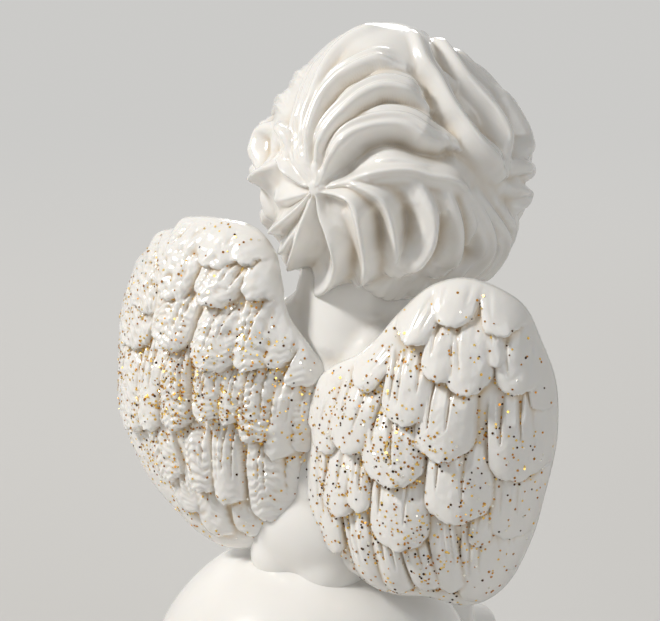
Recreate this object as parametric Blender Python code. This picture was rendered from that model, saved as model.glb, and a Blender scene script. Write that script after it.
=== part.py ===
"""Seated angel figurine on a ball: cast resin pieces, glued together over steel pins.

Lengths are millimetres and become metres where a mesh is made. +Z is up and the figure faces -Y,
so its left side is +X. The origin is the centre of the felt pad's underside.
"""

import math

import bmesh
import bpy
import numpy as np
from mathutils import Matrix, Vector

MM = 0.001
GLUE_GAP = 0.3

# Ball and felt pad
BALL_RADIUS = 20.0
BALL_FLAT_RADIUS = 12.0
FELT_RADIUS = 10.0
FELT_THICKNESS = 1.6
FELT_PROUD = 0.5
BALL_CENTRE = Vector((0.0, 0.0, FELT_PROUD + math.sqrt(BALL_RADIUS**2 - BALL_FLAT_RADIUS**2)))

# How the upper body leans over its seat, and where the head is
SEAT = Vector((-1.3, 2.0, BALL_CENTRE.z + BALL_RADIUS - 2.0))
LEAN_RIGHT = math.radians(6.0)
LEAN_FORWARD = math.radians(6.0)
HEAD_CENTRE = Vector((-7.6, -5.0, 80.8))
HEAD_TIPPED_BACK = math.radians(10.0)

# Torso stations in the upright body: height, half width, half depth, middle in Y
TORSO_STATIONS = (
    (24.0, 7.6, 7.2, 3.4),
    (32.0, 8.3, 8.2, 3.7),
    (37.0, 8.4, 8.0, 3.1),
    (43.0, 8.4, 8.3, 1.1),
    (50.0, 8.7, 7.1, 1.0),
    (57.0, 9.0, 6.7, 2.0),
    (61.5, 8.9, 6.2, 1.8),
    (64.5, 7.8, 6.4, 1.7),
    (67.0, 7.1, 6.6, 1.4),
    (71.0, 6.7, 6.6, 0.5),
)

# Limb stations, for the left side: X, Y, Z and radius
LEG_STATIONS = (
    (5.9, -0.5, 37.8, 5.4),
    (6.4, -9.0, 39.8, 5.5),
    (7.4, -16.5, 38.8, 4.9),
    (7.5, -21.2, 31.0, 4.5),
    (6.9, -23.2, 22.5, 3.2),
    (6.8, -23.6, 19.0, 3.0),
)
FOOT_STATIONS = (
    (6.6, -21.8, 17.4, 2.7),
    (7.1, -26.0, 16.8, 3.0),
    (8.0, -30.6, 15.3, 2.6),
)
UPPER_ARM = (Vector((8.2, 1.0, 61.0)), Vector((10.2, 0.4, 58.0)), Vector((12.4, -2.8, 50.6)))
FOREARM = (Vector((8.4, -11.0, 47.2)), Vector((7.2, -15.4, 45.2)))
ARM_RADII = (3.4, 3.9, 3.4, 2.5, 2.1)
SHOULDER_RADII = Vector((4.0, 4.1, 4.4))
PALM_RADII = Vector((3.0, 3.8, 1.8))

# Skull, hair and face, in the head's own frame
SKULL_RADII = np.array((13.6, 14.0, 14.4))
CROWN_TAPER = 1.6
HAIR_COVER = 0.3
HAIR_CLEAR_RADIUS = 17.9
WHORL = (-9, 10)
CHIN_LATITUDE = -46
HAIR_LOW = -68
HAIR_LOW_RISE_AT_FACE = 22

# Hair ridges: bearings round the head from its back towards its right and heights above its equator,
# both in degrees, then the crest's height above the hair cover and its flanks' widths, left and right
HAIR_RIDGES = {
    "crown_1": (((-8, 12), (-2, 25), (5, 33), (15, 37), (26, 38), (35, 36), (42, 31), (51, 27)), 2.9, 3.0, 1.4),
    "crown_2": (((-9, 13), (-10, 28), (-6, 38), (1, 46), (10, 52), (25, 55), (40, 52), (52, 46)), 2.8, 2.6, 1.4),
    "crown_3": (((-11, 13), (-18, 33), (-21, 46), (-16, 57), (-2, 64), (20, 68), (46, 66)), 2.7, 2.4, 1.4),
    "crown_4": (((-12, 12), (-19, 22), (-30, 48), (-38, 62), (-45, 74), (-38, 85), (88, 84)), 2.5, 2.2, 1.4),
    "crown_5": (((-14, 12), (-23, 22), (-38, 46), (-48, 58), (-65, 68)), 2.2, 2.0, 1.6),
    "leaf_rim": (((-58, 28), (-69, 19), (-65, 11), (-57, 6)), 2.6, 1.4, 1.4),
    "leaf_fold": (((-58, 28), (-40, 29), (-32, 26), (-31, 20)), 2.4, 1.4, 1.4),
    "star_1": (((-11, 11), (-16, 11), (-24, 14), (-35, 17)), 2.5, 1.4, 1.4),
    "star_1_tip": (((-35, 17), (-46, 8), (-61, -2)), 2.5, 1.4, 1.4),
    "star_2": (((-61, -2), (-58, -9), (-56, -15)), 2.2, 1.4, 1.4),
    "star_3": (((-12, 7), (-17, 1), (-26, -7), (-43, -18)), 2.6, 1.4, 1.4),
    "star_4": (((-12, 5), (-17, -7), (-31, -21), (-48, -29)), 2.2, 1.4, 1.4),
    "star_5": (((-10, 7), (-14, -4), (-20, -17), (-43, -38)), 2.6, 1.4, 1.4),
    "star_6": (((-8, 7), (-2, -7), (0, -16), (-3, -26), (-13, -37), (-36, -47)), 2.8, 1.4, 1.4),
    "nape_1": (((-6, 9), (2, 9), (8, 7), (11, 1), (12, -9), (11, -30)), 2.5, 1.4, 1.4),
    "nape_2": (((-4, 11), (5, 14), (14, 12), (21, 7), (24, -3), (24, -14), (22, -24)), 2.5, 1.4, 1.4),
    "fall_3": (((27, 18), (34, 12), (38, 4), (40, -5), (37, -13), (31, -21)), 3.0, 1.4, 1.4),
    "fall_4": (((38, 15), (45, 10), (48, 1), (50, -8), (50, -17)), 2.9, 1.4, 1.5),
    "fall_5": (((55, 6), (61, -3), (65, -14), (64, -23), (61, -29)), 2.6, 1.4, 1.4),
    "fall_6": (((62, 0), (71, -12), (83, -28), (88, -43)), 2.7, 1.4, 1.4),
    "band": (((-3, 12), (6, 15), (16, 18), (26, 19), (41, 15), (49, 12), (55, 7), (58, 2)), 2.5, 1.4, 1.5),
    "diagonal_1": (((144, 78), (69, 66), (66, 41), (69, 26), (75, 14), (81, 6)), 2.6, 1.8, 1.4),
    "diagonal_2": (((150, 66), (112, 62), (97, 52), (95, 30), (92, 20), (87, 9)), 2.5, 1.4, 1.4),
    "diagonal_tip": (((66, 63), (79, 57), (86, 51)), 2.3, 1.4, 1.4),
    "lobe_1": (((128, 40), (118, 30), (116, 19), (113, 8), (100, 4)), 2.7, 1.4, 1.4),
    "lobe_2": (((85, 7), (105, -2), (94, -3)), 2.5, 1.4, 1.4),
    "lobe_3": (((83, -2), (106, -13), (93, -14), (88, -20)), 2.5, 1.4, 1.4),
    "lobe_4": (((76, -8), (89, -24), (93, -36), (88, -43)), 2.4, 1.4, 1.4),
    "right_temple_1": (((150, 60), (128, 54), (122, 40), (122, 18), (114, 0)), 2.4, 1.7, 1.7),
    "fringe_1": (((108, 74), (126, 56), (136, 36), (137, 10)), 2.5, 1.8, 1.4),
    "fringe_2": (((130, 74), (148, 56), (154, 40), (150, 21)), 2.5, 1.8, 1.4),
    "fringe_3": (((156, 75), (168, 58), (171, 44), (164, 27)), 2.5, 1.8, 1.4),
    "fringe_4": (((-166, 75), (-172, 60), (-178, 46), (176, 29)), 2.5, 1.7, 1.4),
    "fringe_5": (((-138, 74), (-152, 59), (-163, 45), (-170, 28)), 2.5, 1.7, 1.4),
    "fringe_6": (((-116, 68), (-134, 53), (-147, 39), (-154, 21)), 2.5, 1.7, 1.4),
    "left_temple_1": (((-100, 62), (-120, 50), (-134, 32), (-141, 10)), 2.4, 1.9, 1.5),
    "left_temple_2": (((-112, 40), (-126, 26), (-128, 6), (-118, -14)), 2.4, 1.7, 1.4),
    "right_cheek_1": (((112, 34), (124, 22), (130, 6), (126, -8), (119, -12)), 2.5, 1.4, 1.4),
    "right_cheek_2": (((110, 8), (122, -2), (128, -16), (123, -28), (116, -30)), 2.4, 1.4, 1.4),
    "right_cheek_3": (((106, -12), (116, -24), (120, -36), (113, -46)), 2.3, 1.4, 1.4),
    "left_cheek_1": (((-114, 30), (-126, 20), (-132, 4), (-127, -10), (-120, -13)), 2.5, 1.4, 1.4),
    "left_cheek_2": (((-110, 4), (-123, -5), (-129, -18), (-124, -30), (-117, -32)), 2.4, 1.4, 1.4),
    "left_cheek_3": (((-104, -16), (-115, -27), (-119, -38), (-112, -47)), 2.3, 1.4, 1.4),
    "left_side_1": (((-38, 52), (-62, 52), (-92, 40), (-112, 14)), 2.4, 2.0, 1.6),
    "left_side_2": (((-44, 38), (-66, 38), (-90, 24), (-106, 0)), 2.4, 1.8, 1.5),
    "left_side_3": (((-62, 24), (-76, 20), (-92, 6), (-102, -16)), 2.4, 1.7, 1.4),
    "left_side_4": (((-60, 0), (-76, -2), (-88, -14), (-93, -36)), 2.5, 1.4, 1.4),
    "left_side_5": (((-56, -14), (-68, -20), (-76, -32), (-76, -48)), 2.4, 1.4, 1.4),
    "left_side_6": (((-46, -28), (-56, -36), (-60, -50)), 2.3, 1.4, 1.4),
}
RIDGE_SAMPLES = 60

# Broad swellings of the hair (bearing, height, reach in degrees, rise) and the deepest valley
HAIR_SWELLINGS = {"left_crown": (-75, 58, 38, 2.0), "top": (60, 86, 26, 1.9), "right_front": (120, 40, 26, 1.6)}
HAIR_VALLEY = ((-4, 14), (2, 19), (8, 26), (16, 32), (25, 33), (34, 30), (44, 24), (59, 21))
HAIR_VALLEY_DEPTH = 1.1
HAIR_VALLEY_WIDTH = 1.2

# Face bumps: degrees right and up from the middle of the face, half widths in degrees, height in mm
FACE_BUMPS = {
    "brow": (0, 9.5, 28, 6, 0.5),
    "nose": (0, -13, 6.5, 9, 2.2),
    "left_cheek": (29, -22, 15, 12, 1.8),
    "right_cheek": (-29, -22, 15, 12, 1.8),
    "left_eye_socket": (20, -2, 10, 7, -0.8),
    "right_eye_socket": (-20, -2, 10, 7, -0.8),
    "lips": (0, -30, 10, 5, 1.1),
    "chin": (0, CHIN_LATITUDE, 13, 8, 1.5),
}
FACE_HALF_ANGLES = (51, 54)
FACE_MIDDLE_LATITUDE = -20

# Wing: middle in the upright body, sweep, outlines (outwards, up), dome and thickness
WING_MIDDLE = Vector((14.3, 10.8, 53.4))
WING_SWEEP_FORWARD = math.radians(10.0)
WING_TIPPED_BACK = math.radians(7.0)
RIGHT_WING_OUTLINE = (
    (2.6, 19.3),
    (7.9, 17.4),
    (10.8, 13.2),
    (13.0, 8.4),
    (13.9, 2.0),
    (13.5, -4.5),
    (12.7, -10.5),
    (10.6, -16.6),
    (7.0, -19.4),
    (2.4, -18.8),
    (-1.8, -19.4),
    (-5.6, -18.6),
    (-11.0, -16.4),
    (-13.2, -11.0),
    (-13.4, -4.5),
    (-13.2, 1.0),
    (-11.2, 4.8),
    (-7.8, 8.4),
    (-4.6, 14.4),
    (-1.6, 18.0),
)
LEFT_WING_OUTLINE = (
    (0.5, 19.9),
    (5.2, 18.9),
    (9.8, 15.9),
    (13.6, 11.7),
    (16.4, 4.6),
    (16.9, -2.6),
    (14.2, -8.8),
    (9.2, -13.2),
    (4.0, -16.0),
    (-0.6, -18.6),
    (-4.6, -19.4),
    (-9.6, -17.6),
    (-12.6, -14.4),
    (-13.3, -9.6),
    (-13.3, -3.0),
    (-13.2, 3.6),
    (-11.6, 7.4),
    (-9.7, 11.0),
    (-8.8, 14.4),
    (-7.4, 17.6),
    (-4.4, 19.8),
)
WING_REACH = (15.0, 19.0)
WING_DOME = (6.0, 3.0)
WING_HALF_THICKNESS = 2.0
WING_RIM_THICKNESS = 1.6
FEATHER_LIFT = 1.8
FEATHER_OVERLAP = 1.15

# Feathers in each wing's outline plane: tip and root (outwards, up), width and share of the lift
RIGHT_FEATHERS = (
    (-3.2, 12.2, -1.4, 17.4, 4.3, 1.0),
    (1.1, 14.7, 1.5, 19.5, 4.6, 0.8),
    (7.6, 14.5, 5.8, 19.0, 4.7, 1.0),
    (1.0, 8.9, 1.2, 15.0, 4.1, 1.0),
    (4.6, 8.0, 2.9, 15.3, 4.8, 1.15),
    (10.0, 8.3, 8.1, 14.7, 4.7, 0.9),
    (12.6, 6.3, 10.4, 12.9, 2.7, 0.7),
    (-2.0, 3.5, -2.2, 10.6, 5.3, 1.1),
    (-8.1, 5.9, -5.4, 10.3, 3.2, 0.8),
    (-8.6, -1.7, -7.4, 5.8, 5.0, 1.0),
    (2.8, 0.3, 2.2, 8.7, 6.1, 1.2),
    (11.2, -1.5, 9.4, 7.4, 6.0, 1.1),
    (-2.4, -3.9, -3.3, 3.9, 7.0, 1.2),
    (5.2, -6.9, 4.4, 1.6, 6.9, 1.25),
    (-0.8, -11.5, -1.7, -3.4, 6.5, 1.2),
    (11.1, -9.1, 10.5, -0.9, 4.8, 0.6),
    (-8.9, -10.0, -8.4, -1.9, 3.8, 0.9),
    (-6.1, -8.3, -6.8, -1.9, 3.1, 0.9),
    (-3.3, -19.5, -6.7, -9.1, 3.3, 1.0),
    (-0.4, -18.2, -3.4, -9.5, 3.0, 1.0),
    (3.0, -16.7, 0.1, -9.9, 3.1, 0.9),
    (5.4, -16.5, 3.0, -6.7, 2.9, 0.8),
    (8.8, -18.5, 8.0, -7.4, 4.9, 0.7),
    (11.5, -13.8, 10.7, -6.1, 3.3, 0.6),
    (-11.8, -3.2, -10.4, 3.9, 3.5, 0.8),
    (-9.1, -15.5, -10.7, -7.6, 3.4, 0.8),
)
LEFT_FEATHERS = (
    (5.2, 13.4, 2.3, 19.0, 8.7, 0.9),
    (-1.3, 15.3, -2.2, 20.4, 5.6, 0.8),
    (-5.7, 16.2, -4.9, 20.6, 4.4, 0.8),
    (9.4, 8.4, 5.9, 15.5, 8.2, 0.9),
    (3.8, 10.9, 1.8, 16.3, 5.1, 1.0),
    (-2.5, 11.3, -3.4, 16.0, 5.0, 1.1),
    (-7.7, 12.5, -7.2, 16.9, 3.3, 0.9),
    (10.6, 3.1, 9.5, 9.6, 8.5, 0.9),
    (2.7, 5.1, 1.5, 12.2, 5.7, 1.1),
    (-3.6, 4.1, -4.6, 11.7, 5.2, 1.2),
    (-8.0, 4.7, -7.9, 12.3, 3.3, 1.1),
    (-10.6, 5.3, -9.9, 11.1, 2.4, 0.8),
    (9.1, -7.1, 9.3, 3.7, 7.1, 0.9),
    (4.7, -5.4, 4.8, 4.6, 3.9, 1.0),
    (0.3, -4.0, 1.4, 5.5, 4.0, 1.1),
    (-4.0, -1.8, -3.5, 5.5, 3.5, 1.2),
    (-6.6, -1.8, -6.2, 4.9, 2.6, 1.0),
    (-9.4, -3.6, -8.6, 5.2, 3.2, 1.2),
    (-11.6, -5.4, -11.4, 4.4, 2.6, 1.0),
    (1.4, -11.1, 3.9, -3.7, 4.4, 0.8),
    (-3.4, -11.0, -2.0, -2.9, 3.2, 1.1),
    (-6.5, -11.9, -5.7, -2.1, 3.0, 1.1),
    (-11.4, -13.9, -10.4, -3.5, 4.8, 1.1),
    (-1.2, -14.6, 1.2, -9.2, 3.6, 0.6),
    (-4.2, -17.2, -3.0, -9.9, 3.5, 0.6),
    (-8.1, -16.3, -7.5, -9.6, 3.2, 0.6),
)

# Steel pins: radius, and each pin's two ends in the upright body or at the root
WING_PIN_RADIUS = 0.7
LIMB_PIN_RADIUS = 0.8
DOWEL_RADIUS = 1.2
WING_PIN_SPOTS = {"upper": (4.6, 55.5), "lower": (4.4, 48.0)}
WING_PIN_SPAN_Y = (2.8, 8.9)
ARM_PIN_ENDS = (Vector((5.2, 1.0, 59.4)), Vector((10.8, 0.3, 57.8)))
LEG_PIN_ENDS = (Vector((4.6, 3.0, 37.6)), Vector((5.8, -7.0, 39.2)))
NECK_DOWEL_ENDS = (Vector((0.0, 0.9, 60.0)), Vector((0.0, -1.6, 74.5)))
SEAT_DOWEL_ENDS = (Vector((-0.9, 2.0, 26.0)), Vector((-2.0, 2.0, 44.0)))

# Mesh fineness
BALL_SEGMENTS, BALL_RINGS = 40, 24
TORSO_SIDES, TORSO_RINGS = 28, 18
LIMB_SIDES, LIMB_RINGS = 12, 13
HEAD_SEGMENTS, HEAD_RINGS = 84, 46
WING_SPOKES, WING_RINGS, WING_FRONT_RINGS = 72, 18, 3
PIN_SIDES = 10

RESIN = ("white_resin", (0.90, 0.88, 0.85), 0.28, 0.0)
STEEL = ("steel", (0.60, 0.60, 0.62), 0.30, 1.0)
FELT = ("felt", (0.33, 0.30, 0.27), 0.95, 0.0)


def lean_matrix():
    """The upright body turned about its seat: first forward, then to its right."""
    turn = Matrix.Rotation(-LEAN_RIGHT, 4, "Y") @ Matrix.Rotation(LEAN_FORWARD, 4, "X")
    return Matrix.Translation(SEAT) @ turn @ Matrix.Translation((0.0, -SEAT.y, -SEAT.z))


def head_matrix():
    return Matrix.Translation(HEAD_CENTRE) @ Matrix.Rotation(-HEAD_TIPPED_BACK, 4, "X")


def wing_matrix():
    """The left wing's frame in the upright body: X outwards, Y back, Z up."""
    turn = Matrix.Rotation(-WING_SWEEP_FORWARD, 4, "Z") @ Matrix.Rotation(-WING_TIPPED_BACK, 4, "X")
    return Matrix.Translation(WING_MIDDLE) @ turn


def mirrored(points, hand, middle=0.0):
    """Points of the left side, or of the right side when hand is -1, about a middle plane."""
    return [Vector((middle + p[0] * hand, *p[1:])) for p in points]


def curve_through(points, count):
    """Points spread along a smooth curve through the given ones."""
    knots = [Vector(p) for p in points]
    knots = [2 * knots[0] - knots[1], *knots, 2 * knots[-1] - knots[-2]]
    spans = len(knots) - 3
    found = []
    for i in range(count):
        span = min(int(i / (count - 1) * spans), spans - 1)
        t = i / (count - 1) * spans - span
        a, b, c, d = knots[span : span + 4]
        bend = (c - a) * t + (2 * a - 5 * b + 4 * c - d) * t**2 + (3 * b - a - 3 * c + d) * t**3
        found.append(b + 0.5 * bend)
    return found


def closed_curve(corners, count):
    """Points spread round a smooth closed curve through flat corners."""
    thrice = [Vector((*p, 0.0)) for p in (*corners, *corners, *corners, corners[0])]
    return [p.xy for p in curve_through(thrice, 3 * count + 1)[count : 2 * count]]


def circle_angles(sides):
    return [2 * math.pi * i / sides for i in range(sides)]


def material(finish):
    name, colour, roughness, metallic = finish
    found = bpy.data.materials.get(name)
    if found is None:
        found = bpy.data.materials.new(name)
        found.use_nodes = True
        shader = found.node_tree.nodes["Principled BSDF"]
        shader.inputs["Base Color"].default_value = (*colour, 1.0)
        shader.inputs["Roughness"].default_value = roughness
        shader.inputs["Metallic"].default_value = metallic
    return found


def new_object(name, mesh_builder, finish=RESIN, parent=None):
    """An object from a bmesh in millimetres, in its parent's frame."""
    bmesh.ops.recalc_face_normals(mesh_builder, faces=mesh_builder.faces)
    bmesh.ops.scale(mesh_builder, vec=(MM, MM, MM), verts=mesh_builder.verts)
    mesh = bpy.data.meshes.new(name)
    mesh_builder.to_mesh(mesh)
    mesh_builder.free()
    mesh.materials.append(material(finish))
    mesh.shade_smooth()
    mesh.set_sharp_from_angle(angle=math.radians(50))
    made = bpy.data.objects.new(name, mesh)
    made.parent = parent
    bpy.context.scene.collection.objects.link(made)
    return made


def new_frame(name, matrix):
    """An empty that places the pieces parented to it."""
    frame = bpy.data.objects.new(name, None)
    turn_and_place = matrix.copy()
    turn_and_place.translation *= MM
    frame.matrix_world = turn_and_place
    bpy.context.scene.collection.objects.link(frame)
    return frame


def loft(rings, first_pole=None, last_pole=None):
    """A closed skin over rings of points, ending in fans to the two poles."""
    builder = bmesh.new()
    rows = [[builder.verts.new(p) for p in ring] for ring in rings]
    sides = len(rows[0])
    for low, high in zip(rows, rows[1:]):
        for i in range(sides):
            j = (i + 1) % sides
            builder.faces.new((low[i], low[j], high[j], high[i]))
    for row, pole in ((rows[0], first_pole), (rows[-1], last_pole)):
        middle = sum((v.co for v in row), Vector()) / sides
        tip = builder.verts.new(middle if pole is None else pole)
        for i in range(sides):
            builder.faces.new((row[i], row[(i + 1) % sides], tip))
    return builder


def tube(stations, rings, sides, grow=0.0):
    """A round-ended tube through stations of X, Y, Z and radius."""
    spread = curve_through(stations, rings)
    centres = [s.to_3d() for s in spread]
    side = None
    loops = []
    for i, station in enumerate(spread):
        ahead = (centres[min(i + 1, rings - 1)] - centres[max(i - 1, 0)]).normalized()
        side = ahead.orthogonal() if side is None else side - ahead * side.dot(ahead)
        side.normalize()
        up = ahead.cross(side)
        radius = station.w + grow
        loop = [centres[i] + radius * (side * math.cos(a) + up * math.sin(a)) for a in circle_angles(sides)]
        loops.append(loop)
    ends = []
    for near, far, station in ((0, 1, spread[0]), (-1, -2, spread[-1])):
        ends.append(centres[near] + (centres[near] - centres[far]).normalized() * 0.5 * (station.w + grow))
    return loft(loops, *ends)


def apply_boolean(target, other, operation):
    """Cuts or joins target with other, which is then removed."""
    modifier = target.modifiers.new(operation.lower(), "BOOLEAN")
    modifier.object = other
    modifier.operation = operation
    modifier.solver = "EXACT"
    bpy.context.view_layer.update()
    graph = bpy.context.evaluated_depsgraph_get()
    result = bpy.data.meshes.new_from_object(target.evaluated_get(graph))
    target.modifiers.remove(modifier)
    target.data = result
    bpy.data.objects.remove(other)


def ball_mesh(grow=0.0):
    builder = bmesh.new()
    bmesh.ops.create_uvsphere(
        builder, u_segments=BALL_SEGMENTS, v_segments=BALL_RINGS, radius=BALL_RADIUS + grow
    )
    bmesh.ops.translate(builder, vec=BALL_CENTRE, verts=builder.verts)
    return builder


def rod_mesh(ends, radius, grow=0.0):
    """A straight pin between two points, longer and wider by grow where it is a hole's cutter."""
    start, end = ends
    along = (end - start).normalized()
    stations = [(*(start - along * grow), radius), (*(end + along * grow), radius)]
    return tube(stations, 3, PIN_SIDES, grow)


def drill(target, ends, radius, parent=None):
    apply_boolean(target, new_object("drill", rod_mesh(ends, radius, GLUE_GAP), STEEL, parent), "DIFFERENCE")


def disc_mesh(radius, low, high, sides=40):
    loops = []
    for z in (low, high):
        loops.append([Vector((radius * math.cos(a), radius * math.sin(a), z)) for a in circle_angles(sides)])
    return loft(loops)


def make_ball_base():
    """The ball, cut flat to stand, with a recess for its felt pad."""
    builder = ball_mesh()
    cut = bmesh.ops.bisect_plane(
        builder,
        geom=builder.verts[:] + builder.edges[:] + builder.faces[:],
        plane_co=(0, 0, FELT_PROUD),
        plane_no=(0, 0, 1),
        clear_inner=True,
    )
    rim = [g for g in cut["geom_cut"] if isinstance(g, bmesh.types.BMEdge)]
    bmesh.ops.contextual_create(builder, geom=rim)
    ball = new_object("ball_base", builder)
    recess = disc_mesh(FELT_RADIUS + GLUE_GAP, -1.0, FELT_THICKNESS + GLUE_GAP)
    apply_boolean(ball, new_object("recess", recess), "DIFFERENCE")
    return ball


def torso_mesh(grow=0.0):
    loops = []
    for height, half_width, half_depth, middle in curve_through(TORSO_STATIONS, TORSO_RINGS):
        loop = []
        for a in circle_angles(TORSO_SIDES):
            x = (half_width + grow) * math.cos(a)
            loop.append(Vector((x, middle + (half_depth + grow) * math.sin(a), height)))
        loops.append(loop)
    top = Vector((0.0, TORSO_STATIONS[-1][3], TORSO_STATIONS[-1][0] + 0.5 + grow))
    return loft(loops, None, top)


def leg_stations(hand):
    return mirrored(LEG_STATIONS, hand, SEAT.x)


def make_leg(side, hand, body):
    """Thigh, calf and foot in one casting, cut to lie on the ball and against the torso."""
    leg = new_object(f"{side}_leg", tube(leg_stations(hand), LIMB_RINGS, LIMB_SIDES))
    foot = new_object("foot", tube(mirrored(FOOT_STATIONS, hand, SEAT.x), 6, LIMB_SIDES))
    apply_boolean(leg, foot, "UNION")
    apply_boolean(leg, new_object("cutter", torso_mesh(GLUE_GAP), RESIN, body), "DIFFERENCE")
    apply_boolean(leg, new_object("cutter", ball_mesh(GLUE_GAP)), "DIFFERENCE")
    return leg


def arm_points(hand):
    """The upper arm leans with the body, and the hand stays on its knee."""
    lean = lean_matrix()
    leaning = [lean @ p for p in mirrored(UPPER_ARM, hand)]
    return leaning + mirrored(FOREARM, hand, SEAT.x)


def make_arm(side, hand, body):
    """Arm and hand in one casting, the palm cut to rest on the knee."""
    points = arm_points(hand)
    stations = [(*p, r) for p, r in zip(points, ARM_RADII)]
    arm = new_object(f"{side}_arm", tube(stations, LIMB_RINGS, LIMB_SIDES))
    for middle, radii in ((points[0], SHOULDER_RADII), (points[-1], PALM_RADII)):
        knob = bmesh.new()
        bmesh.ops.create_icosphere(knob, subdivisions=2, radius=1.0)
        bmesh.ops.scale(knob, vec=radii, verts=knob.verts)
        bmesh.ops.translate(knob, vec=middle, verts=knob.verts)
        apply_boolean(arm, new_object("knob", knob), "UNION")
    apply_boolean(arm, new_object("cutter", torso_mesh(GLUE_GAP), RESIN, body), "DIFFERENCE")
    knee = tube(leg_stations(hand), LIMB_RINGS, LIMB_SIDES, GLUE_GAP)
    apply_boolean(arm, new_object("cutter", knee), "DIFFERENCE")
    return arm


def direction(bearing, latitude):
    """Unit vector in the head's frame: bearing from the back towards the head's right, in degrees."""
    turn, lift = math.radians(bearing), math.radians(latitude)
    return Vector((-math.sin(turn) * math.cos(lift), math.cos(turn) * math.cos(lift), math.sin(lift)))


def smooth_step(low, high, values):
    t = np.clip((values - low) / (high - low), 0, 1)
    return t * t * (3 - 2 * t)


def along_route(directions, route):
    """Offset to the left of a route, distance from it, and distance from its start and end, in mm."""
    reach = float(SKULL_RADII.mean()) + HAIR_COVER
    points = curve_through([direction(*w) for w in route], RIDGE_SAMPLES)
    middles = np.array([p.normalized() for p in points])
    ahead = np.gradient(middles, axis=0)
    ahead -= middles * (ahead * middles).sum(1, keepdims=True)
    ahead /= np.linalg.norm(ahead, axis=1, keepdims=True)
    left = np.cross(middles, ahead)
    travelled = np.r_[0, np.cumsum(np.linalg.norm(np.diff(middles, axis=0), axis=1))] * reach
    nearest = (directions @ middles.T).argmax(1)
    delta = directions - middles[nearest]
    offset = (delta * left[nearest]).sum(1) * reach
    on = (delta * ahead[nearest]).sum(1) * reach
    inner = (nearest > 0) & (nearest < RIDGE_SAMPLES - 1)
    away = np.hypot(offset, np.where(inner, 0.0, on))
    return offset, away, travelled[nearest], travelled[-1] - travelled[nearest]


def hair_relief(directions):
    """Height of the hair's ridges and swellings over the hair cover along each unit direction."""
    relief = np.zeros(len(directions))
    for route, crest, left_width, right_width in HAIR_RIDGES.values():
        offset, away, start, rest = along_route(directions, route)
        width = np.where(offset > 0, left_width, right_width)
        height = crest * (0.55 + 0.45 * smooth_step(0, 3.0, rest))
        if math.dist(route[0], WHORL) < 8:
            width = width * np.clip(0.22 + start / 7.0, 0.22, 1)
            height = height * (0.42 + 0.58 * smooth_step(0, 6.0, start))
        else:
            height = height * (0.35 + 0.65 * smooth_step(0, 4.0, start))
        relief = np.maximum(relief, height * np.exp(-((away / width) ** 2)))
    for bearing, latitude, spread, rise in HAIR_SWELLINGS.values():
        away = np.degrees(np.arccos(np.clip(directions @ np.array(direction(bearing, latitude)), -1, 1)))
        relief = np.maximum(relief, rise * np.exp(-((away / spread) ** 4)))
    _, away, start, rest = along_route(directions, HAIR_VALLEY)
    ends = smooth_step(0, 3.0, np.minimum(start, rest) + 0.8)
    return relief - HAIR_VALLEY_DEPTH * ends * np.exp(-((away / HAIR_VALLEY_WIDTH) ** 2))


def head_radii(directions):
    """Distance from the head's centre to its surface along each unit direction."""
    skull = 1 / np.sqrt(((directions / SKULL_RADII) ** 2).sum(1))
    across = np.degrees(np.arctan2(directions[:, 0], -directions[:, 1]))
    lift = np.degrees(np.arcsin(np.clip(directions[:, 2], -1, 1)))
    below = np.minimum(lift - FACE_MIDDLE_LATITUDE, 0) * 0.3
    above = np.maximum(lift - FACE_MIDDLE_LATITUDE, 0)
    from_face = np.hypot(across / FACE_HALF_ANGLES[0], (above + below) / FACE_HALF_ANGLES[1])
    combed = hair_relief(directions)
    lowest = HAIR_LOW + HAIR_LOW_RISE_AT_FACE * (1 - smooth_step(60, 125, np.abs(across)))
    hair = smooth_step(0.92, 1.04, from_face + 0.06 * (combed - 1.2))
    hair = hair * smooth_step(-8, 8, lift + 3 * combed - lowest)
    radii = skull + hair * (HAIR_COVER + combed)
    radii -= CROWN_TAPER * np.where(lift > 0, np.sin(np.radians(2 * lift)) ** 2, 0)
    for right, up, half_width, half_height, height in FACE_BUMPS.values():
        spread = ((across - right) / half_width) ** 2 + ((lift - up) / half_height) ** 2
        radii += (1 - hair) * height * np.exp(-spread)
    return radii


def make_head(frame, body):
    """Face and hair in one casting, with a socket underneath for the neck."""
    builder = bmesh.new()
    bmesh.ops.create_uvsphere(builder, u_segments=HEAD_SEGMENTS, v_segments=HEAD_RINGS, radius=1.0)
    to_whorl = Vector((0, 0, 1)).rotation_difference(direction(*WHORL)).to_matrix()
    bmesh.ops.rotate(builder, matrix=to_whorl, verts=builder.verts)
    directions = np.array([v.co.normalized() for v in builder.verts])
    for vert, radius in zip(builder.verts, head_radii(directions)):
        vert.co = vert.co.normalized() * radius
    head = new_object("head", builder, RESIN, frame)
    apply_boolean(head, new_object("cutter", torso_mesh(GLUE_GAP), RESIN, body), "DIFFERENCE")
    return head


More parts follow.
